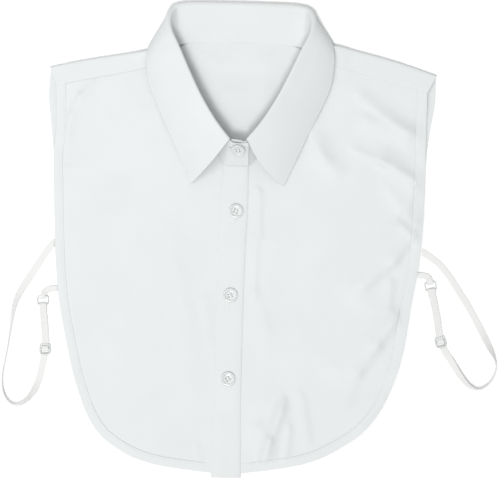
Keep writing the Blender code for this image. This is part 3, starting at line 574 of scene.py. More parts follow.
def waviness(x, y, seed):
    """Slight unevenness of ironed cloth, in millimetres, at a point given in millimetres."""
    broad = noise.noise(Vector((x / 46.0, y / 62.0, seed)))
    fine = noise.noise(Vector((x / 17.0, y / 21.0, seed + 7.0)))
    return 0.55 * broad + 0.14 * fine


def neck_lift(x, y):
    """How far the back is lifted, in metres, where the turned-under leaf lies below it."""
    across = 1.0 - ease(NECK_LIFT_X[0], NECK_LIFT_X[1], abs(x))
    return NECK_LIFT * across * ease(NECK_LIFT_Y[0], NECK_LIFT_Y[1], y)


def front_top(x, y):
    """Height in metres of a front's outer face at a point given in millimetres."""
    below_seam = SHOULDER_SEAM_Y - SHOULDER_SLOPE * abs(x) - y
    rise = SHOULDER_RISE * (1.0 - ease(0.0, SHOULDER_RISE_LENGTH, below_seam))
    beside = ease(8.0, 22.0, min(abs(x - 8.0), abs(x + 18.0)) if not -18.0 < x < 8.0 else 0.0)
    folds, creases = (FOLDS_RIGHT, CREASES_RIGHT) if x > 0.0 else (1.0, CREASES_LEFT)
    soft = ridges(FOLDS, x, y) * folds + ridges(CREASES, x, y) * creases
    soft += (waviness(x, y, 3.0) + 0.35) * beside
    return FRONT_TOP_Z + rise + neck_lift(x, y) + max(soft, 0.0) * MM


def shoulder_rows(side, first):
    """Rows of a shoulder's fold (first 0) or seam (first 2) with its fold radius, from the neck out."""
    column = first if side < 0 else first + 4
    return [(row[column], row[column + 1], row[-1]) for row in SHOULDER]


def shoulder_fold(side):
    """A function of a share along a shoulder, from the neck, that gives its fold and its seam.

    It returns the fold's lower tangent line, its middle, its outward direction, its radius and the
    seam, all in millimetres.
    """
    fold = evenly(shoulder_rows(side, 0))
    seam = evenly(shoulder_rows(side, 2))

    def at(share):
        fx, fy, radius = fold(share)
        sx, sy, _ = seam(share)
        out = Vector((fx - sx, fy - sy, 0.0)).normalized()
        tangent = Vector((fx, fy, 0.0)) - out * radius
        tangent.z = neck_lift(tangent.x, tangent.y) / MM
        return tangent, tangent + Vector((0.0, 0.0, radius)), out, radius, (sx, sy)

    return at


def neck_share(width):
    """Share across the back's top edge at which its neckline ends."""
    return (1.0 - (HEM_WIDTH + HEM_STEP_WIDTH) / width) * NECK_SHARE


def panel_place(side, is_front):
    """A function from shares round and across one half of a panel to its x and y in millimetres.

    Round goes from the hem's middle up the side to the shoulder; across goes from the middle out.
    A front's neckline is part of its inner edge, and the back's is part of its top edge.
    """
    outer = side_rows(OUTLINE, side)
    table = FRONT_NECKLINE if is_front else BACK_NECKLINE
    neckline = [(COLLAR_CENTRE_X / MM + side * x, y) for x, y in table]

    def middle_x(y):
        return front_edge_x(y, side) if is_front else COLLAR_CENTRE_X / MM

    top_y = neckline[0][1]
    hem_y = outer[-1][1]
    neckline[0] = (middle_x(top_y), top_y)
    outer[-1] = (middle_x(hem_y), hem_y)
    straight = top_y - PANEL_SPLIT_Y
    if is_front:
        outer = side_rows(FRONT_ARMHOLE, side) + outer[FRONT_JOINS_OUTLINE_AT:]
        neck_length = sum(math.dist(a, b) for a, b in zip(neckline, neckline[1:]))
        straight_share = straight / (straight + neck_length)
        upper = evenly(shoulder_rows(side, 2))
        neckline[-1] = upper(0.0)[:2]
    else:
        fold = shoulder_fold(side)
        neckline[-1] = tuple(fold(0.0)[0][:2])
        outer[0] = tuple(fold(1.0)[0][:2])
        straight_share = 1.0
        turn = neck_share(math.dist(neckline[0], outer[0]) * MM)
    neck_curve = evenly(neckline)
    edge = evenly(outer[::-1])

    def inner(share):
        if share <= straight_share:
            y = PANEL_SPLIT_Y + straight * share / straight_share
            return (middle_x(y), y)
        return neck_curve((share - straight_share) / (1.0 - straight_share))

    def lower(share):
        y = PANEL_SPLIT_Y + (hem_y - PANEL_SPLIT_Y) * share
        return (middle_x(y), y)

    def top(share):
        if is_front:
            return upper(share)
        if share <= turn:
            return neck_curve(share / turn)
        return fold((share - turn) / (1.0 - turn))[0]

    def place(round_share, across):
        s, t = round_share, across
        ends = (inner(0.0), inner(1.0), lower(1.0), top(1.0))
        a, b, c, d = inner(s), edge(s), lower(t), top(t)
        point = []
        for k in range(2):
            corners = (1 - s) * (1 - t) * ends[0][k] + s * (1 - t) * ends[1][k]
            corners += (1 - s) * t * ends[2][k] + s * t * ends[3][k]
            point.append((1 - t) * a[k] + t * b[k] + (1 - s) * c[k] + s * d[k] - corners)
        return tuple(point)

    return place


def collar_rows():
    """Every row of the collar from its right front round the back to its left front."""
    right = list(COLLAR)
    for index, x, y, z in LEAF_OVER_RIGHT_SHOULDER:
        right[index] = right[index][:6] + (x, y, z) + right[index][9:]
    right.reverse()
    left = [(-x0, y0, z0, -x1, y1, z1, -x2, y2, z2, a, r)
            for x0, y0, z0, x1, y1, z1, x2, y2, z2, a, r in COLLAR[1:]]
    return right + left


def stand_rows():
    """The stand's rows, with both ends of the neckband."""
    middle = [row[:6] + row[9:] for row in collar_rows()]
    middle[-1] = BAND_OVER_START + middle[-1][3:]
    under = list(reversed(BAND_UNDER_END))
    over = [(-x0, y0, z0, -x1, y1, z1, a, r) for x0, y0, z0, x1, y1, z1, a, r in BAND_OVER_END]
    return under + middle + over


def collar_frame(rows, share):
    """Row, stand direction and outward direction of the collar at a share of its rows."""
    row = smooth(rows, share)
    step = SLOPE_STEP / (len(rows) - 1)
    ahead = smooth(rows, min(share + step, 1.0))
    behind = smooth(rows, max(share - step, 0.0))
    along = Vector(ahead[3:5]) - Vector(behind[3:5])
    along.normalize()
    out = Vector((along.y, -along.x, 0.0))
    lean = math.radians(row[-2])
    up = Vector((0.0, 0.0, 1.0))
    stand = out * math.sin(lean) + up * math.cos(lean)
    outward = out * math.cos(lean) - up * math.sin(lean)
    return row, stand, outward


def collar_point(x, y, z):
    """A point of the collar's table as a place in the model."""
    return Vector((x * MM + COLLAR_CENTRE_X, y * MM, z * MM))


def stand_line(share):
    """Lower and upper end of the stand's middle surface at a share, and its outward direction."""
    row, stand, outward = collar_frame(stand_rows(), share)
    radius = row[-1] * MM
    base = collar_point(*row[0:3])
    roll = collar_point(*row[3:6])
    lip = roll - stand * (radius + LEAF_LIP) - outward * (radius - COLLAR_WALL / 2.0)
    down = (base - lip).normalized()
    skew = 1.0 - min(abs(down.dot(stand)), 1.0)
    return base, lip + down * (SEAM_GAP + skew * LEAF_LIP), outward


def doubled(route, bar, ahead, stop_at, clearance):
    """Carry a strap's route ahead round a ring's bar and back above itself, as far as stop_at."""
    across = Vector((-ahead.y, ahead.x, 0.0))
    centre = Vector((bar.x, bar.y, RING_Z))
    bend = []
    for i in range(BEND_STEPS + 1):
        angle = -math.pi / 2.0 + math.pi * i / BEND_STEPS
        turn = ahead * math.cos(angle) + Vector((0.0, 0.0, math.sin(angle)))
        bend.append((centre + turn * HAIRPIN_RADIUS, across))
    back = []
    for point, width_direction in reversed(route):
        if (point - stop_at).length < clearance:
            break
        away = math.hypot(point.x - bar.x, point.y - bar.y)
        narrow = ease(0.0, HAIRPIN_TAPER, away)
        apart = 2.0 * HAIRPIN_RADIUS * (1.0 - narrow) + (STRAP_WALL + SEAM_GAP) * narrow
        back.append((point + Vector((0.0, 0.0, apart)), width_direction))
    return route + bend + back


def level_route(rows, per_row):
    """Route through rows of x, y and roll, resting on the surface at each point."""
    steps = per_row * (len(rows) - 1)
    route = []
    for i in range(steps + 1):
        x, y, roll = smooth(rows, i / steps)
        ahead = smooth(rows, min((i + SLOPE_STEP) / steps, 1.0))
        behind = smooth(rows, max((i - SLOPE_STEP) / steps, 0.0))
        along = Vector((ahead[0] - behind[0], ahead[1] - behind[1], 0.0)).normalized()
        level = Vector((-along.y, along.x, 0.0))
        along_edge = Vector((0.0, math.copysign(1.0, level.y), 0.0))
        level = along_edge.lerp(level, ease(0.0, EDGE_TURN_STEPS, i)).normalized()
        angle = math.radians(roll)
        across = level * math.cos(angle) + Vector((0.0, 0.0, math.sin(angle)))
        rise = abs(math.sin(angle)) * STRAP_WIDTH / 2.0 + abs(math.cos(angle)) * STRAP_WALL / 2.0
        route.append((Vector((x * MM, y * MM, rise)), across))
    return route


def run(points, axis):
    """Distance along one way of a grid from its start, in metres."""
    step = np.linalg.norm(np.diff(points, axis=axis), axis=2)
    pad = [(0, 0), (0, 0)]
    pad[axis] = (1, 0)
    return np.pad(np.cumsum(step, axis=axis), pad)


def facing(points, outward):
    """Unit normals of a grid, on the side that outward points to at the grid's middle."""
    normals = np.cross(np.gradient(points, axis=0), np.gradient(points, axis=1))
    normals /= np.maximum(np.linalg.norm(normals, axis=2, keepdims=True), 1e-12)
    middle = normals[points.shape[0] // 2, points.shape[1] // 2]
    return normals if float(np.dot(middle, outward)) > 0.0 else -normals


def linked(name, data):
    """A new object of the scene for a mesh, curve, light or camera."""
    made = bpy.data.objects.new(name, data)
    bpy.context.scene.collection.objects.link(made)
    return made


def mesh_of(name, bm):
    """A mesh made from a bmesh, which is freed."""
    mesh = bpy.data.meshes.new(name)
    bm.to_mesh(mesh)
    bm.free()
    return mesh


def riding(name, data, material, nodes):
    """A piece that rides on the garment, has its material and stands for its nodes."""
    piece = linked(name, data)
    data.materials.append(material)
    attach(piece, "root")
    if nodes:
        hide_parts(*nodes)
    return piece


def new_piece(name, bm, material, nodes):
    """A smooth piece made from a bmesh, kept just above the surface that it lies on."""
    for vert in bm.verts:
        vert.co.z = max(vert.co.z, SURFACE_CLEARANCE)
    for face in bm.faces:
        face.smooth = True
    return riding(name, mesh_of(name, bm), material, nodes)


def add_bevel(piece, width, angle):
    """Round a piece's edges that are sharper than an angle in degrees."""
    edge = piece.modifiers.new("edge", "BEVEL")
    edge.width = width
    edge.segments = 2
    edge.limit_method = "ANGLE"
    edge.angle_limit = math.radians(angle)


def cloth(name, grids, wall, material, nodes):
    """A cloth piece from grids of its outer face: points, outward normals, shares of the wall, UV.

    Grids that meet are joined. The UV is in millimetres.
    """
    bm = bmesh.new()
    uv_layer = bm.loops.layers.uv.new("cloth")
    layers = bm.verts.layers.deform.verify()
    for points, normals, shares, uv in grids:
        columns, rows = points.shape[0] - 1, points.shape[1] - 1
        made = bmesh.ops.create_grid(bm, x_segments=columns, y_segments=rows, size=1.0)["verts"]
        place = {}
        for vert in made:
            i = round((vert.co.x + 1.0) / 2.0 * columns)
            j = round((vert.co.y + 1.0) / 2.0 * rows)
            place[vert] = (i, j)
            vert.co = points[i, j]
            vert[layers][0] = float(shares[i, j])
        faces = list({face for vert in made for face in vert.link_faces})
        for face in faces:
            for loop in face.loops:
                loop[uv_layer].uv = uv[place[loop.vert]]
        i, j = columns // 2, rows // 2
        turned = np.cross(points[i + 1, j] - points[i, j], points[i, j + 1] - points[i, j])
        if float(np.dot(turned, normals[i, j])) < 0.0:
            bmesh.ops.reverse_faces(bm, faces=faces)
    if len(grids) > 1:
        bmesh.ops.remove_doubles(bm, verts=bm.verts[:], dist=0.02 * MM)
    piece = new_piece(name, bm, material, nodes)
    piece.vertex_groups.new(name="layers")
    solid = piece.modifiers.new("wall", "SOLIDIFY")
    solid.thickness = wall
    solid.offset = -1.0
    solid.vertex_group = "layers"
    add_bevel(piece, 0.15 * MM, 55.0)
    return piece


def planar(points):
    """UV in millimetres along the garment's width and length."""
    return points[:, :, :2] / MM


def unrolled(points):
    """UV in millimetres along a grid's own two ways."""
    return np.stack([run(points, 0), run(points, 1)], axis=2) / MM


def beads(places, u_segments, v_segments):
    """A bmesh of one long round thread at each matrix, made in small batches to stay quick."""
    whole = bmesh.new()
    mesh = bpy.data.meshes.new("batch")
    for start in range(0, len(places), BATCH):
        bm = bmesh.new()
        for matrix in places[start:start + BATCH]:
            bmesh.ops.create_uvsphere(
                bm, u_segments=u_segments, v_segments=v_segments, radius=1.0, matrix=matrix)
        bm.to_mesh(mesh)
        bm.free()
        whole.from_mesh(mesh)
    bpy.data.meshes.remove(mesh)
    return whole


def stitches(name, lines, material):
    """Rows of stitches along lines of points and normals: short threads sunk at both ends."""
    places = []
    for points, normals in lines:
        points, normals = np.array(points), np.array(normals)
        steps = np.linalg.norm(np.diff(points, axis=0), axis=1)
        lengths = np.concatenate([[0.0], np.cumsum(steps)])
        count = max(int(lengths[-1] / STITCH_PITCH), 1)
        for k in range(count):
            at = (k + 0.5) * lengths[-1] / count
            place = [np.interp((at - 0.2 * MM, at, at + 0.2 * MM), lengths, points[:, a]) for a in range(3)]
            place = np.array(place).T
            normal = Vector([np.interp(at, lengths, normals[:, a]) for a in range(3)]).normalized()
            along = Vector(place[2] - place[0]).normalized()
            across = normal.cross(along).normalized()
            normal = along.cross(across)
            turn = Matrix((along, across, normal)).transposed().to_4x4()
            size = Matrix.Diagonal((STITCH_LENGTH / 2.0, THREAD_RADIUS, THREAD_RADIUS * 0.9, 1.0))
            places.append(Matrix.Translation(Vector(place[1])) @ turn @ size)
    return new_piece(name, beads(places, 6, 4), material, ())


def panel_shares(place, s):
    """Shares across a panel of its rows at a share round it, with the hem's rows at their depth."""
    middle, edge = Vector(place(s, 0.0)), Vector(place(s, 1.0))
    ahead, behind = Vector(place(min(s + 0.01, 1.0), 1.0)), Vector(place(max(s - 0.01, 0.0), 1.0))
    way, side = edge - middle, (ahead - behind).normalized()
    width = way.length
    depth = max(abs(way.normalized().cross(side)), 0.6)
    turn = neck_share(width * MM)
    hem = [1.0 - row / depth / width for row in HEM_ROWS]
    first = [turn * k / NECK_INNER_ROWS for k in range(NECK_INNER_ROWS)]
    rest = INNER_ROWS - NECK_INNER_ROWS
    second = [turn + (hem[0] - turn) * k / rest for k in range(rest)]
    return first + second + hem


def hem_profile(d, x, y):
    """Height of a hem's step with its stitch trough and slight puckers, in metres."""
    step = HEM_RAISE * (1.0 - ease(*HEM_RAISE_BETWEEN, d))
    seam = trough(d, STITCH_DEPTH_IN, HEM_TROUGH, HEM_TROUGH_WIDTH)
    depth = HEM_GROOVE + HEM_GROOVE_BELOW * (1.0 - ease(*HEM_GROOVE_Y, y))
    groove = trough(d, HEM_GROOVE_AT, depth, HEM_GROOVE_WIDTH)
    pucker = noise.noise(Vector(((x + y) / 7.0, d / 9.0, 1.0)))
    pucker *= trough(d, HEM_PUCKER_MIDDLE, HEM_PUCKER, HEM_PUCKER_WIDTH)
    roll = HEM_ROLL * (1.0 - ease(0.0, HEM_ROLL_WIDTH, d))
    return step - seam - groove + pucker - roll


def hem_layers(rows):
    """Share of the wall at each row of a panel: the hem has more layers than the rest."""
    thin = CLOTH_LAYER_WALL / HEM_LAYER_WALL
    inner = rows - len(HEM_ROWS)
    hem = [thin + (1.0 - thin) * (1.0 - ease(7.2, 8.4, d)) for d in HEM_ROWS]
    return [thin] * inner + hem


def seam_step(side):
    """Height of a shoulder strip's edge over the front below it."""
    return SEAM_STEP_LEFT if side < 0 else SEAM_STEP_RIGHT


def front_grid(side):
    """Grid of a front's outer face and the row of its hem's stitches."""
    place = panel_place(side, True)
    points = []
    for i in range(PANEL_STEPS + 1):
        s = i / PANEL_STEPS
        shares = panel_shares(place, s)
        inner = len(shares) - len(HEM_ROWS)
        row = []
        for j, t in enumerate(shares):
            x, y = place(s, t)
            z = front_top(x, y)
            if j >= inner:
                clear = abs(x - front_edge_x(y, side)) * MM
                fade = ease(PLACKET_LAP, HEM_FADE, clear)
                z += hem_profile(HEM_ROWS[j - inner], x, y) * fade
            row.append((x * MM, y * MM, z))
        points.append(row)
    lap = []
    for x, y, z in points[-1]:
        lap.append((x, y + SEAM_LAP, z - seam_step(side)))
    return np.array(points + [lap])


def make_front(name, side, material):
    """One front with its turned hem."""
    points = front_grid(side)
    normals = facing(points, (0.0, 0.0, 1.0))
    shares = np.tile(hem_layers(points.shape[1]), (points.shape[0], 1))
    grid = (points, normals, shares, planar(points))
    piece = cloth(f"cloth_{name}", [grid], HEM_LAYER_WALL, material, [name])
    column = points.shape[1] - len(HEM_ROWS) + STITCH_ROW
    gaps = [abs(x - front_edge_x(y / MM, side) * MM) for x, y, _ in points[:, column]]
    first = next(i for i, gap in enumerate(gaps) if gap > STITCH_CLEAR_OF_EDGE)
    return piece, (points[first:-2, column], normals[first:-2, column])


def make_back(material):
    """The back, its hem, and the strips that turn over the shoulders."""
    grids, lines = [], []
    for side in (-1, 1):
        place = panel_place(side, False)
        fold = shoulder_fold(side)
        points = []
        for i in range(PANEL_STEPS + 1):
            s = i / PANEL_STEPS
            row = []
            for t in panel_shares(place, s):
                x, y = place(s, t)
                row.append((x * MM, y * MM, back_outer(x, y)))
            points.append(row)
        points = np.array(points)
        normals = facing(points, (0.0, 0.0, -1.0))
        layers = hem_layers(points.shape[1])
        shares = np.tile(layers, (points.shape[0], 1))
        grids.append((points, normals, shares, planar(points)))
        column = points.shape[1] - len(HEM_ROWS) + STITCH_ROW
        under = points[:, column].copy()
        under[:, 2] += HEM_LAYER_WALL
        lines.append((points[:, column] + (0.0, 0.0, THREAD_RADIUS * 0.4), normals[:, column]))
        lines.append((under, -normals[:, column]))
        turn = neck_share(math.dist(place(1.0, 0.0), place(1.0, 1.0)) * MM)
        flap_shares = panel_shares(place, 1.0)[NECK_INNER_ROWS:]
        flap = []
        for k in range(FOLD_STEPS + FLAP_STEPS + 2):
            row = []
            for t in flap_shares:
                tangent, centre, out, radius, (sx, sy) = fold((t - turn) / (1.0 - turn))
                tangent.z = back_outer(tangent.x, tangent.y) / MM
                centre.z = tangent.z + radius
                if k <= FOLD_STEPS:
                    angle = math.pi * k / FOLD_STEPS
                    rise = Vector((0.0, 0.0, -math.cos(angle) * radius))
                    point = centre + out * math.sin(angle) * radius + rise
                else:
                    share = min((k - FOLD_STEPS) / FLAP_STEPS, 1.0)
                    top = centre + Vector((0.0, 0.0, radius))
                    end = Vector((sx, sy, (front_top(sx, sy) + seam_step(side)) / MM))
                    point = top.lerp(end, share)
                    point.z = top.z + (end.z - top.z) * ease(0.0, 1.0, share)
                    point.z += 0.35 * waviness(point.x, point.y, 11.0) * math.sin(math.pi * share)
                    if k > FOLD_STEPS + FLAP_STEPS:
                        point -= out * 0.25
                        point.z -= 0.35
                row.append(point * MM)
            flap.append(row)
        flap = np.array(flap)
        flap_normals = facing(flap, (0.0, 1.0, 1.0))
        flap_layers = np.tile(layers[NECK_INNER_ROWS:], (flap.shape[0], 1))
        grids.append((flap, flap_normals, flap_layers, unrolled(flap)))
        lines.append((flap[-4], flap_normals[-4]))
        column = flap.shape[1] - len(HEM_ROWS) + STITCH_ROW
        lines.append((flap[:-1, column], flap_normals[:-1, column]))
    piece = cloth("cloth_back", grids, HEM_LAYER_WALL, material, ["back_panel"])
    return piece, lines


def back_outer(x, y):
    """Height in metres of the back's outer face at a point given in millimetres."""
    inside = ease(104.0, 124.0, y) * (1.0 - ease(40.0, 62.0, abs(x + 2.0))) * (1.0 - ease(160.0, 172.0, y))
    folds = max(ridges(NECK_FOLDS, x, y) + 0.5 * waviness(x, y, 5.0) + 0.2, 0.0)
    return OUTER_LIFT + neck_lift(x, y) + folds * inside * MM


def leaf_line(rows, share):
    """The leaf's section at a share round the collar.

    It returns the roll's middle and radius, the stand's and the outward direction, the angle round
    the roll at which the leaf leaves it, how straight it runs from there, and its outer edge. The
    straightness is 0 at the back, where the leaf lies flat below the stand, and 1 at the fronts.
    """
    values, stand, outward = collar_frame(rows, share)
    radius = values[-1] * MM
    centre = collar_point(*values[3:6]) - stand * radius
    edge = collar_point(*values[6:9])
    straight = 1.0 - ease(*LEAF_STRAIGHT_LEAN, values[-2])
    along_stand, beside = (edge - centre).dot(stand), (edge - centre).dot(outward)
    reach = math.hypot(along_stand, beside)
    tangent = math.atan2(beside, along_stand) + math.asin(radius / reach) - 4.0 * LEAF_BULGE / reach
    turn = math.pi + (tangent - math.pi) * straight
    return centre, radius, stand, outward, turn, straight, edge


def leaf_bow(chord, share, f):
    """Offset of the leaf towards the placket, which bows its front edges out."""
    bow = LEAF_BOW_RIGHT if share < 0.5 else LEAF_BOW_LEFT
    across = Vector((chord.y, -chord.x, 0.0)).normalized() * (1.0 if share < 0.5 else -1.0)
    front = 1.0 - ease(0.0, LEAF_BOW_SHARE, min(share, 1.0 - share))
    return across * bow * front * 4.0 * f * (1.0 - f)


def leaf_point(rows, u, row):
    """Outer face of the leaf at a share round it. Rows -1 to 0 are its lip, to 1 its roll, to 2 its drape."""
    centre, radius, stand, outward, turn, straight, edge = leaf_line(rows, u)
    if row <= 0.0:
        return centre - outward * radius + stand * LEAF_LIP * row
    if row <= 1.0:
        angle = turn * row
        return centre + (stand * math.sin(angle) - outward * math.cos(angle)) * radius
    f = row - 1.0
    away = stand * math.sin(turn) - outward * math.cos(turn)
    start = centre + away * radius
    chord = edge - start
    leave = (-stand * chord.length * LEAF_LEAVE).lerp(chord, straight)
    flat = Vector((chord.x, chord.y, 0.0)).normalized()
    arrive = (flat * chord.length * LEAF_ARRIVE).lerp(chord, straight)
    a = 2 * f ** 3 - 3 * f ** 2 + 1
    b = f ** 3 - 2 * f ** 2 + f
    c = f ** 3 - f ** 2
    point = start * a + leave * b + edge * (1 - a) + arrive * c
    point += away * LEAF_BULGE * straight * 4.0 * f * (1.0 - f)
    point += leaf_bow(chord, u, f)
    point.z = max(point.z, 0.0)
    return point


def leaf_columns(rows):
    """Shares round the leaf, with columns near both ends for the stitches along them."""
    near = [leaf_point(rows, k / LEAF_SAMPLES, 1.6) for k in range(LEAF_SAMPLES + 1)]
    lengths = [0.0]
    for a, b in zip(near, near[1:]):
        lengths.append(lengths[-1] + (b - a).length / MM)
    marks = spaced(LEAF_END_COLUMNS, lengths[-1], LEAF_COLUMNS - 2 * len(LEAF_END_COLUMNS))
    shares = [k / LEAF_SAMPLES for k in range(LEAF_SAMPLES + 1)]
    return [float(np.interp(mark, lengths, shares)) for mark in marks]


def make_leaf(material):
    """The turned-down collar with its two points and the stitches along its edges."""
    rows = collar_rows()
    us = leaf_columns(rows)
    points = []
    for u in us:
        reach = (leaf_point(rows, u, 2.0) - leaf_point(rows, u, 1.0)).length / MM
        ways = [-1.0 + k / LEAF_ROWS_LIP for k in range(LEAF_ROWS_LIP)]
        ways += [k / LEAF_ROWS_ROLL for k in range(LEAF_ROWS_ROLL)]
        last = 2.0 - LEAF_EDGE_ROWS[0] / reach / LEAF_ROW_STRETCH
        ways += [1.0 + (last - 1.0) * k / LEAF_DRAPE_ROWS for k in range(LEAF_DRAPE_ROWS)]
        ways += [2.0 - row / reach / LEAF_ROW_STRETCH for row in LEAF_EDGE_ROWS]
        points.append([leaf_point(rows, u, way) for way in ways])
    points = np.array(points)
    normals = facing(points, (0.0, 0.0, -1.0))
    across, down = run(points, 0) / MM, run(points, 1) / MM
    from_edge = down[:, -1:] - down
    from_end = np.minimum(across, across[-1:] - across)
    inside = np.minimum(from_edge, from_end)
    drape = LEAF_ROWS_LIP + LEAF_ROWS_ROLL
    seam = trough(inside, LEAF_STITCH_IN, LEAF_TROUGH, LEAF_TROUGH_WIDTH)
    seam[:, :drape] = 0.0
    body = np.clip((down - down[:, drape:drape + 1]) / LEAF_SOFT_FROM, 0.0, 1.0)
    finer = points / MM * LEAF_SOFT_PITCH
    soft = np.array([[waviness(p[0], p[1], LEAF_SEED) for p in row] for row in finer])
    height = soft * LEAF_SOFT * body - seam
    points = points + normals * height[:, :, None] * MM
    points[:, :, 2] = np.maximum(points[:, :, 2], 0.0)
    shares = np.ones(points.shape[:2])
    grid = (points, normals, shares, unrolled(points))
    piece = cloth("cloth_collar_leaf", [grid], SHOWN_COLLAR_WALL, material, ["collar_leaf"])
    edge = points.shape[1] - len(LEAF_EDGE_ROWS) + LEAF_EDGE_ROWS.index(LEAF_STITCH_IN)
    end = LEAF_END_COLUMNS.index(LEAF_STITCH_IN)
    far = points.shape[0] - 1 - end
    lines = [
        (points[end:far + 1, edge], normals[end:far + 1, edge]),
        (points[end, drape + 3:edge + 1], normals[end, drape + 3:edge + 1]),
        (points[far, drape + 3:edge + 1], normals[far, drape + 3:edge + 1]),
    ]
    return piece, lines


def make_stand(material):
    """The neckband, whose front ends overlap, with stitches near its lower and upper edges."""
    points, outs, flats = [], [], []
    for i in range(STAND_COLUMNS + 1):
        base, seam, outward = stand_line(i / STAND_COLUMNS)
        down = (base - seam).normalized()
        level = Vector((down.x, down.y, 0.0))
        flat = ease(*STAND_LEVEL_BETWEEN, level.length)
        base = base + level * (STAND_FOOT_OUT + (STAND_REACH_DOWN - STAND_FOOT_OUT) * flat)
        base.z += STAND_FOOT_RISE * (1.0 - 2.0 * flat)
        seam = seam - down * STAND_OVERLAP
        height = (seam - base).length / MM
        marks = spaced(STAND_ROW_MARKS, height, STAND_INNER_ROWS)
        points.append([base.lerp(seam, mark / height) for mark in marks])
        outs.append(outward)
        flats.append(flat)
    points = np.array(points)
    flats = np.array(flats)[:, None]
    normals = facing(points, tuple(outs[STAND_COLUMNS // 2]))
    up = run(points, 1) / MM
    to_top = up[:, -1:] - up
    seams = sum(trough(way, STAND_STITCH_IN, STAND_TROUGH, TROUGH_WIDTH) for way in (up, to_top))
    points = points + normals * (SHOWN_COLLAR_WALL / 2.0)
    shares = np.ones(points.shape[:2]) - STAND_SEAM_THIN * seams
    thin = STAND_EDGE_SHARE + (1.0 - STAND_EDGE_SHARE) * np.clip(up / STAND_THIN_WIDTH, 0.0, 1.0)
    shares = shares * (1.0 - flats + flats * thin)
    inner = points - normals * SHOWN_COLLAR_WALL * shares[:, :, None]
    points = points - normals * seams[:, :, None] * MM
    grid = (points, normals, shares, unrolled(points))
    piece = cloth("cloth_collar_stand", [grid], SHOWN_COLLAR_WALL, material, ["collar_stand"])
    low = STAND_ROW_MARKS.index(STAND_STITCH_IN)
    high = points.shape[1] - 1 - low
    lines = []
    for row in (low, high):
        lines.append((points[:, row], normals[:, row]))
    lines.append((inner[:, low], -normals[:, low]))
    for column in (4, STAND_COLUMNS - 4):
        lines.append((points[column, low:high + 1], normals[column, low:high + 1]))
    return piece, lines


def make_placket(name, top_y, end_y, left_x, right_x, top_z, wall, material):
    """A placket: a long strip with a slightly raised edge outside its stitches on both sides."""
    points = []
    for i in range(PLACKET_STEPS + 1):
        y = (end_y + (top_y - end_y) * i / PLACKET_STEPS) / MM
        left, right = left_x(y), right_x(y)
        width = right - left
        marks = spaced(PLACKET_MARKS, width, PLACKET_INNER_COLUMNS)
        row = []
        for mark in marks:
            inside = min(mark, width - mark)
            seam = trough(inside, PLACKET_STITCH_IN, PLACKET_TROUGH, TROUGH_WIDTH)
            middle = PLACKET_CROWN * ease(*PLACKET_CROWN_BETWEEN, inside)
            soft = waviness(left + mark, y, PLACKET_SEED) * ease(0.0, PLACKET_SOFT_FROM, inside)
            rolled = PLACKET_EDGE_DROP * (1.0 - ease(0.0, PLACKET_EDGE_WIDTH, inside))
            z = top_z / MM + middle + soft * PLACKET_SOFT - seam - rolled
            row.append(((left + mark) * MM, y * MM, z * MM))
        points.append(row)
    points = np.array(points)
    normals = facing(points, (0.0, 0.0, 1.0))
    shares = np.ones(points.shape[:2])
    grid = (points, normals, shares, planar(points))
    piece = cloth(f"cloth_{name}", [grid], wall, material, [name])
    low = PLACKET_MARKS.index(PLACKET_STITCH_IN)
    high = points.shape[1] - 1 - low
    return piece, [(points[:, low], normals[:, low]), (points[:, high], normals[:, high])]


def button_place(name):
    """Middle of a button's underside and the direction that its face looks to."""
    for button, x, y in PLACKET_BUTTONS:
        if button == name:
            return Vector((x * MM, y * MM, PLACKET_TOP_Z)), Vector((0.0, 0.0, 1.0))
    rows = stand_rows()
    base, seam, _ = stand_line((len(rows) - 2) / (len(rows) - 1))
    rise = seam - base
    normal = Vector((0.0, -rise.z, rise.y)).normalized()
    place = base + rise * BAND_BUTTON_SHARE + normal * COLLAR_WALL / 2.0
    place.x = COLLAR_CENTRE_X
    return place, normal


def spun(bm, profile, steps):
    """Turn a profile of radius and height round Z."""
    last = bmesh.ops.create_vert(bm, co=(profile[0][0], 0.0, profile[0][1]))["vert"][0]
    for r, z in profile[1:]:
        last = bmesh.ops.extrude_vert_indiv(bm, verts=[last])["verts"][0]
        last.co = (r, 0.0, z)
    bmesh.ops.spin(bm, geom=bm.verts[:] + bm.edges[:], cent=(0.0, 0.0, 0.0), axis=(0.0, 0.0, 1.0),
                   angle=2.0 * math.pi, steps=steps, use_merge=True)


def button_profile():
    """Radius and height of a button, from the middle of its dish over its rim to that of its back."""
    radius, height = BUTTON_DIAMETER / 2.0, BUTTON_THICKNESS
    floor = height - BUTTON_DISH_DEPTH
    dish = radius - BUTTON_RIM_WIDTH
    profile = [(dish * k / 4.0, floor) for k in range(4)]
    for k in range(9):
        angle = math.pi / 2.0 * k / 8.0
        rise = BUTTON_DISH_DEPTH * (1.0 - math.cos(angle)) ** 0.8
        profile.append((dish + BUTTON_DISH_SIDE * math.sin(angle) ** 2, floor + rise))
    for k in range(1, 13):
        angle = math.pi * k / 12.0
        across = radius - BUTTON_EDGE_REACH + BUTTON_EDGE_REACH * math.sin(angle)
        profile.append((across, height / 2.0 + height / 2.0 * math.cos(angle)))
    return profile + [(radius - BUTTON_FOOT_INSET, 0.0), (0.0, 0.0)]


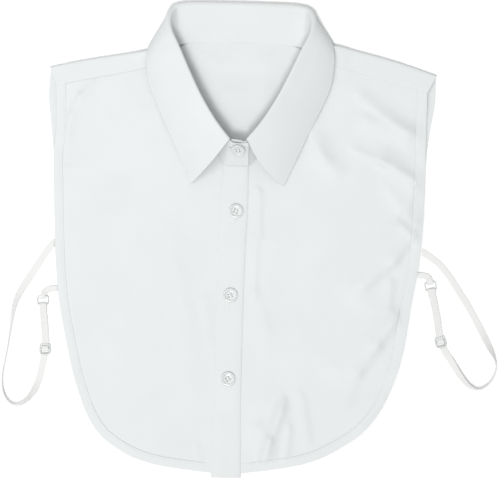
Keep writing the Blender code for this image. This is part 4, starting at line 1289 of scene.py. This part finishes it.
def make_button(name, resin, thread, turn):
    """A four-hole button with the threads through its holes. It returns the button's place."""
    place, normal = button_place(name)
    bm = bmesh.new()
    spun(bm, button_profile(), BUTTON_STEPS)
    bmesh.ops.remove_doubles(bm, verts=bm.verts[:], dist=0.002 * MM)
    bmesh.ops.recalc_face_normals(bm, faces=bm.faces[:])
    blank = linked(name + "_blank", mesh_of(name + "_blank", bm))
    cutters = bmesh.new()
    for i in range(4):
        angle = math.radians(45.0 + 90.0 * i)
        x, y = math.cos(angle) * BUTTON_HOLE_SPREAD, math.sin(angle) * BUTTON_HOLE_SPREAD
        bmesh.ops.create_cone(
            cutters, cap_ends=True, segments=20, radius1=BUTTON_HOLE_RADIUS,
            radius2=BUTTON_HOLE_RADIUS, depth=3.0 * BUTTON_THICKNESS,
            matrix=Matrix.Translation((x, y, BUTTON_THICKNESS / 2.0)))
    holes = linked(name + "_holes", mesh_of(name + "_holes", cutters))
    cut = blank.modifiers.new("holes", "BOOLEAN")
    cut.operation = "DIFFERENCE"
    cut.solver = "EXACT"
    cut.object = holes
    upright = Vector((0.0, 0.0, 1.0)).rotation_difference(normal).to_matrix().to_4x4()
    where = Matrix.Translation(place + normal * BUTTON_STANDS_OFF) @ upright
    where = where @ Matrix.Rotation(math.radians(turn), 4, "Z")
    bpy.context.view_layer.update()
    evaluated = blank.evaluated_get(bpy.context.evaluated_depsgraph_get())
    done = bpy.data.meshes.new_from_object(evaluated)
    bpy.data.objects.remove(blank)
    bpy.data.objects.remove(holes)
    bm = bmesh.new()
    bm.from_mesh(done)
    bpy.data.meshes.remove(done)
    bmesh.ops.transform(bm, matrix=where, verts=bm.verts[:])
    add_bevel(new_piece(f"resin_{name}", bm, resin, [name]), 0.12 * MM, 50.0)
    places = []
    spread = BUTTON_HOLE_SPREAD * math.sqrt(0.5)
    size = Matrix.Diagonal((spread * 1.12, 0.2 * MM, 0.28 * MM, 1.0))
    height = BUTTON_THICKNESS - BUTTON_DISH_DEPTH + 0.12 * MM
    for sign in (-1.0, 1.0):
        for k in (-1.0, 0.0, 1.0):
            lean = Matrix.Rotation(math.radians(5.0 * k), 4, "Z")
            at = Matrix.Translation((0.0, sign * spread + k * 0.24 * MM, height))
            places.append(where @ at @ lean @ size)
    shank = Matrix.Diagonal((1.9 * MM, 1.9 * MM, 0.35 * MM, 1.0))
    places.append(where @ Matrix.Translation((0.0, 0.0, -0.1 * MM)) @ shank)
    new_piece(f"{name}_thread", beads(places, 14, 8), thread, ())
    return where


def make_buttonhole(name, where, shift, turn, thread):
    """A buttonhole's raised satin stitches round its slit, mostly hidden by the button."""
    places = []
    down = Matrix.Translation((0.0, shift, -SEAM_GAP - 0.02 * MM))
    to_cloth = where @ Matrix.Rotation(math.radians(turn), 4, "Z") @ down
    for side in (-1.0, 1.0):
        for k in range(BUTTONHOLE_STITCHES):
            y = BUTTONHOLE_HALF * (2.0 * (k + 0.5) / BUTTONHOLE_STITCHES - 1.0)
            size = Matrix.Diagonal((0.62 * MM, 0.2 * MM, 0.2 * MM, 1.0))
            at = Matrix.Translation((side * 0.8 * MM, y, 0.0)) @ Matrix.Rotation(0.12 * side, 4, "Z")
            places.append(to_cloth @ at @ size)
        for k in range(7):
            size = Matrix.Diagonal((1.5 * MM, 0.2 * MM, 0.24 * MM, 1.0))
            at = Matrix.Translation((0.0, side * (BUTTONHOLE_HALF + 0.2 * MM * k), 0.0))
            places.append(to_cloth @ at @ size)
    new_piece(name, beads(places, 8, 5), thread, ())


def smooth_point(points, share):
    """Point at a share from 0 to 1 of a smooth curve through a few points."""
    at = share * (len(points) - 1)
    k = min(int(at), len(points) - 2)
    f = at - k
    before, after = points[max(k - 1, 0)], points[min(k + 2, len(points) - 1)]
    a, b = points[k], points[k + 1]
    return (a * 2.0 + (b - before) * f + (before * 2.0 - a * 5.0 + b * 4.0 - after) * f ** 2
            + (a * 3.0 - before - b * 3.0 + after) * f ** 3) / 2.0


def make_ribbon(name, route, width, wall, ribbed, material, nodes):
    """A flat elastic ribbon along a route, with raised cross ribs where ribbed says."""
    centre = np.array([tuple(point) for point, _ in route])
    side = np.array([tuple(across) for _, across in route])
    lengths = np.concatenate([[0.0], np.cumsum(np.linalg.norm(np.diff(centre, axis=0), axis=1))])
    count = int(lengths[-1] / RIBBON_STEP)
    at = np.linspace(0.0, lengths[-1], count)
    centre = np.stack([np.interp(at, lengths, centre[:, a]) for a in range(3)], axis=1)
    side = np.stack([np.interp(at, lengths, side[:, a]) for a in range(3)], axis=1)
    side /= np.linalg.norm(side, axis=1, keepdims=True)
    along = np.gradient(centre, axis=0)
    up = np.cross(along, side)
    up /= np.maximum(np.linalg.norm(up, axis=1, keepdims=True), 1e-12)
    points, walls = [], []
    for j in range(STRAP_ACROSS + 1):
        f = j / STRAP_ACROSS - 0.5
        crown = (1.0 - (2.0 * f) ** 4) * 0.12 * MM
        ribs = np.array([ribbed(i / (count - 1)) for i in range(count)])
        groove = (0.5 + 0.5 * np.cos(2.0 * math.pi * at / RIB_PITCH)) ** 3
        rib = ribs * RIB_DEPTH * (0.5 - groove) * (1.0 - (2.0 * f) ** 8)
        cord = 0.05 * MM * math.cos(2.0 * math.pi * j / 3.0)
        lift = wall / 2.0 + crown + cord + rib
        walls.append(lift + wall / 2.0)
        points.append(centre + side * width * f + up * lift[:, None])
    points = np.array(points).transpose(1, 0, 2)
    normals = facing(points, (0.0, 0.0, 1.0))
    middle = normals[count // 2, STRAP_ACROSS // 2]
    if float(np.dot(middle, up[count // 2])) < 0.0:
        normals = -normals
    walls = np.array(walls).T
    thickest = float(walls.max())
    grid = (points, normals, walls / thickest, unrolled(points))
    cloth(name, [grid], thickest, material, nodes)


def tube(name, paths, radius, material, nodes):
    """Round bars along paths of points, each a list of points and whether it closes on itself."""
    curve = bpy.data.curves.new(name, "CURVE")
    curve.dimensions = "3D"
    curve.bevel_depth = radius
    curve.bevel_resolution = 6
    curve.use_fill_caps = True
    for points, closed in paths:
        spline = curve.splines.new("POLY")
        spline.points.add(len(points) - 1)
        for target, point in zip(spline.points, points):
            target.co = (*point, 1.0)
        spline.use_cyclic_u = closed
        spline.use_smooth = True
    riding(name, curve, material, nodes)


def rounded(matrix, half_x, half_y, corner, steps=8):
    """Points round an oblong with rounded corners, placed by a matrix."""
    points = []
    for quarter, (sx, sy) in enumerate(((1, 1), (-1, 1), (-1, -1), (1, -1))):
        for i in range(steps + 1):
            angle = math.radians(90.0 * (quarter + i / steps))
            x = sx * (half_x - corner) + corner * math.cos(angle)
            y = sy * (half_y - corner) + corner * math.sin(angle)
            points.append(matrix @ Vector((x, y, 0.0)))
    return points


def level_turn(degrees):
    """A turn round the upright axis for a bar that lies across a heading."""
    return Matrix.Rotation(math.radians(degrees - 90.0), 4, "Z")


def make_strap_set(side, rows, ring, slider, tab, elastic, plastic):
    """One side's elastic strap, with its slider, ring and tab."""
    x, y, turn = ring
    heading = Vector((math.cos(math.radians(turn)), math.sin(math.radians(turn)), 0.0))
    middle = Vector((x * MM, y * MM, RING_Z))
    reach = heading * RING_SHORT / 2.0
    sx, sy, slider_turn = slider
    slider_place = Vector((sx * MM, sy * MM, 0.0))
    stop_short = SLIDER_SIZE / 2.0 - STRAP_UNDER_SLIDER
    route = doubled(level_route(rows, 8), middle - reach, heading, slider_place, stop_short)
    make_ribbon(f"elastic_strap_{side}", route, STRAP_WIDTH, RIBBON_WALL,
                lambda share: 1.0 if share > RIBS_FROM else 0.0, elastic, [f"strap_{side}"])
    tab_rows = [(*point, 0.0) for point in tab]
    tab_start = Vector((tab[0][0] * MM, tab[0][1] * MM, 0.0))
    loop = doubled(level_route(tab_rows, 8), middle + reach, -heading, tab_start, 0.0)
    make_ribbon(f"elastic_tab_{side}", loop, TAB_WIDTH, RIBBON_WALL,
                lambda share: 0.0, elastic, [f"tab_{side}"])
    place = Matrix.Translation(middle) @ level_turn(turn)
    outline = rounded(place, RING_LONG / 2.0, RING_SHORT / 2.0, RING_CORNER)
    tube(f"plastic_ring_{side}", [(outline, True)], RING_SHOWN_RADIUS, plastic, [f"ring_{side}"])
    place = Matrix.Translation((sx * MM, sy * MM, SLIDER_Z)) @ level_turn(slider_turn)
    half = SLIDER_SIZE / 2.0 - SLIDER_BAR_RADIUS
    outline = rounded(place, half, half, SLIDER_CORNER)
    bar = [place @ Vector((-half, 0.0, 0.0)), place @ Vector((half, 0.0, 0.0))]
    tube(f"plastic_slider_{side}", [(outline, True), (bar, False)], SLIDER_BAR_RADIUS,
         plastic, [f"slider_{side}"])
    hump = []
    across = place.to_3x3() @ Vector((1.0, 0.0, 0.0))
    for i in range(OVER_BAR_STEPS + 1):
        angle = math.pi * i / OVER_BAR_STEPS
        rise = math.sin(angle) * OVER_BAR_RISE - 0.5 * MM
        hump.append((place @ Vector((0.0, -math.cos(angle) * OVER_BAR_REACH, rise)), across))
    make_ribbon(f"elastic_strap_{side}_over_bar", hump, OVER_BAR_WIDTH, OVER_BAR_WALL,
                lambda share: 0.6, elastic, ())


def srgb(code):
    """Linear colour of an sRGB hex code."""
    values = [int(code[i:i + 2], 16) / 255.0 for i in (1, 3, 5)]
    return tuple(v / 12.92 if v <= 0.04045 else ((v + 0.055) / 1.055) ** 2.4 for v in values) + (1.0,)


def node(tree, kind, inputs=None, **settings):
    """Add a shader node with its settings and inputs, which are values or other nodes' outputs."""
    made = tree.nodes.new(kind)
    for name, value in settings.items():
        setattr(made, name, value)
    for key, value in (inputs or {}).items():
        if isinstance(value, bpy.types.NodeSocket):
            tree.links.new(value, made.inputs[key])
        else:
            made.inputs[key].default_value = value
    return made


def new_material(name, roughness, **sockets):
    """A material with a Principled shader, its numbers set on the shader's own sockets."""
    material = bpy.data.materials.new(name)
    material.use_nodes = True
    tree = material.node_tree
    shader = tree.nodes["Principled BSDF"]
    shader.inputs["Roughness"].default_value = roughness
    for key, value in sockets.items():
        shader.inputs[key.replace("_", " ")].default_value = value
    return material, tree, shader


def wave(tree, vector, period_mm, direction, **inputs):
    """Bands that repeat at a period in millimetres, on coordinates in millimetres."""
    scale = 2.0 * math.pi / 20.0 / period_mm
    made = node(tree, "ShaderNodeTexWave", {"Vector": vector, "Scale": scale, **inputs},
                bands_direction=direction)
    return made.outputs["Fac"]


def cloud(tree, scale, **inputs):
    """Soft noise on the piece's own object coordinates, in metres."""
    place = node(tree, "ShaderNodeTexCoord").outputs["Object"]
    made = node(tree, "ShaderNodeTexNoise", {"Vector": place, "Scale": scale, **inputs})
    return made.outputs["Fac"]


def set_colour(tree, shader, share, first, second):
    """Mix two sRGB codes by a share into the shader's colour."""
    colour = node(tree, "ShaderNodeMix", {0: share, 6: srgb(first), 7: srgb(second)}, data_type="RGBA")
    tree.links.new(colour.outputs[2], shader.inputs["Base Color"])


def set_bump(tree, shader, base, share, added, strength, distance):
    """Raise the surface by a base pattern times a share, plus an added one."""
    height = node(tree, "ShaderNodeMath", {0: base, 1: share, 2: added}, operation="MULTIPLY_ADD")
    bump = node(tree, "ShaderNodeBump", {"Height": height.outputs["Value"], "Strength": strength,
                                         "Distance": distance})
    tree.links.new(bump.outputs["Normal"], shader.inputs["Normal"])


def cotton_poplin():
    """White cotton poplin: fine plain weave, slightly uneven threads, soft dull finish."""
    material, tree, shader = new_material(
        "white_cotton_poplin", 0.82, Sheen_Weight=0.12, Sheen_Roughness=0.5, Specular_IOR_Level=0.25)
    uv = node(tree, "ShaderNodeUVMap", uv_map="cloth").outputs["UV"]
    uneven = {"Distortion": 0.6, "Detail Scale": 0.4}
    warp = wave(tree, uv, 0.30, "X", **uneven)
    weft = wave(tree, uv, 0.36, "Y", **uneven)
    weave = node(tree, "ShaderNodeMath", {0: warp, 1: weft}, operation="MULTIPLY")
    long_way = node(tree, "ShaderNodeMapping", {"Vector": uv, "Scale": (0.35, 2.6, 1.0)})
    slub = node(tree, "ShaderNodeTexNoise", {"Vector": long_way.outputs["Vector"], "Scale": 1.0,
                                             "Detail": 3.0})
    set_bump(tree, shader, slub.outputs["Fac"], 0.8, weave.outputs["Value"], 0.35, 0.08 * MM)
    set_colour(tree, shader, cloud(tree, 24.0, Detail=2.0), "#D5D8D8", "#DBDEDE")
    return material


def sewing_thread():
    """White polyester sewing thread with a slight gloss and its twist."""
    material, tree, shader = new_material(
        "white_sewing_thread", 0.5, Sheen_Weight=0.2, Specular_IOR_Level=0.4)
    set_colour(tree, shader, cloud(tree, 3000.0), "#D8DBDB", "#E7E9E9")
    return material


def pearl_resin():
    """Pearly polyester resin of shirt buttons: cloudy white under a hard gloss."""
    material, tree, shader = new_material(
        "pearl_resin", 0.16, Coat_Weight=0.6, Coat_Roughness=0.08, IOR=1.55, Transmission_Weight=0.12)
    set_colour(tree, shader, cloud(tree, 160.0, Detail=2.0, Distortion=2.5), "#C9CECE", "#F1F3F2")
    return material


def woven_elastic():
    """Off-white woven elastic: fine lengthwise cords and crosswise threads with a satin gloss."""
    material, tree, shader = new_material(
        "white_woven_elastic", 0.55, Sheen_Weight=0.25, Specular_IOR_Level=0.4)
    uv = node(tree, "ShaderNodeUVMap", uv_map="cloth").outputs["UV"]
    cords = wave(tree, uv, 0.75, "Y")
    set_bump(tree, shader, wave(tree, uv, 0.42, "X"), 0.5, cords, 0.5, 0.1 * MM)
    set_colour(tree, shader, cords, "#D8D9D7", "#E6E7E5")
    return material


def clear_plastic():
    """Frosted clear moulded plastic of the rings and sliders."""
    material, tree, shader = new_material("clear_moulded_plastic", 0.2, Transmission_Weight=0.25, IOR=1.49)
    frost = cloud(tree, 400.0, Detail=2.0)
    rough = node(tree, "ShaderNodeMapRange", {"Value": frost, "To Min": 0.14, "To Max": 0.3})
    shader.inputs["Base Color"].default_value = srgb("#E6E9E9")
    tree.links.new(rough.outputs["Result"], shader.inputs["Roughness"])
    return material


def white_floor():
    """Plain white painted board."""
    material, tree, shader = new_material("white_board", 0.9, Specular_IOR_Level=0.1)
    set_colour(tree, shader, cloud(tree, 3.0), "#FBFCFC", "#FDFDFD")
    return material


def add_light(name, place, size, power):
    """A soft white square light aimed at the garment."""
    light = bpy.data.lights.new(name, "AREA")
    light.shape = "SQUARE"
    light.size = size
    light.energy = power
    lamp = linked(name, light)
    lamp.location = place
    lamp.rotation_mode = "QUATERNION"
    lamp.rotation_quaternion = (-Vector(place)).to_track_quat("-Z", "Y")


def set_up_stage():
    """Floor, lights, sky and camera."""
    bm = bmesh.new()
    bmesh.ops.create_grid(bm, x_segments=2, y_segments=2, size=6.0)
    floor = linked("floor", mesh_of("floor", bm))
    floor.data.materials.append(white_floor())
    world = bpy.data.worlds.new("studio")
    world.use_nodes = True
    sky = world.node_tree.nodes["Background"]
    sky.inputs["Color"].default_value = (1.0, 1.0, 1.0, 1.0)
    sky.inputs["Strength"].default_value = SKY_STRENGTH
    bpy.context.scene.world = world
    for light in LIGHTS:
        add_light(*light)
    bpy.context.scene.view_settings.view_transform = "Standard"
    camera = bpy.data.cameras.new("camera")
    camera.sensor_fit = "HORIZONTAL"
    camera.sensor_width = SENSOR_WIDTH
    camera.lens = SENSOR_WIDTH * CAMERA_HEIGHT / (IMAGE_SIZE[0] * SCALE)
    camera.clip_start = 0.05
    camera.clip_end = 50.0
    eye = linked("camera", camera)
    eye.location = (*VIEW_CENTRE, CAMERA_HEIGHT)
    eye.rotation_euler = (0.0, 0.0, PHOTO_TURN)
    bpy.context.scene.camera = eye


set_up_stage()
poplin = cotton_poplin()
thread = sewing_thread()
resin = pearl_resin()
elastic = woven_elastic()
plastic = clear_plastic()

back, back_lines = make_back(poplin)
fronts, front_lines = [], []
for name, side in (("front_right", -1), ("front_left", 1)):
    front, line = make_front(name, side, poplin)
    fronts.append(front)
    front_lines.append(line)

placket_top, placket_lines = make_placket(
    "placket_top", PLACKET[0][0] * MM, PLACKET[-1][0] * MM,
    lambda y: placket_edge(y, 1), lambda y: placket_edge(y, 2),
    PLACKET_TOP_Z + PLACKET_LIFT, PLACKET_LAYER_WALL, poplin)
inset = (PLACKET_LAP + 2.0 * SEAM_GAP) / MM
placket_under, under_lines = make_placket(
    "placket_under", UNDER_PLACKET_TOP_Y, UNDER_PLACKET_END_Y,
    lambda y: placket_edge(y, 1) + inset, lambda y: placket_edge(y, 2) - UNDER_PLACKET_INSET / MM,
    FRONT_TOP_Z, UNDER_PLACKET_WALL, poplin)
stand, stand_lines = make_stand(poplin)
leaf, leaf_lines = make_leaf(poplin)

stitches("back_stitching", back_lines, thread)
stitches("front_stitching", front_lines, thread)
stitches("placket_stitching", placket_lines + under_lines, thread)
stitches("stand_stitching", stand_lines, thread)
stitches("leaf_stitching", leaf_lines, thread)

for name, turn in (("button_1", 8.0), ("button_2", -20.0), ("button_3", 12.0), ("button_4", 30.0)):
    where = make_button(name, resin, thread, turn) @ Matrix.Rotation(math.radians(-turn), 4, "Z")
    shift, hole_turn = (0.0, 90.0) if name == "button_1" else (-1.4 * MM, 0.0)
    make_buttonhole(name + "_hole_edge", where, shift, hole_turn, thread)

for name, tail in THREAD_TAILS:
    points = [Vector((x * MM, y * MM, PLACKET_TOP_Z + z * MM)) for x, y, z in tail]
    curved = [smooth_point(points, k / 16.0) for k in range(17)]
    tube(name, [(curved, False)], THREAD_RADIUS, thread, ())

make_strap_set("right", STRAP_RIGHT, RING_RIGHT, SLIDER_RIGHT, TAB_RIGHT, elastic, plastic)
make_strap_set("left", STRAP_LEFT, RING_LEFT, SLIDER_LEFT, TAB_LEFT, elastic, plastic)
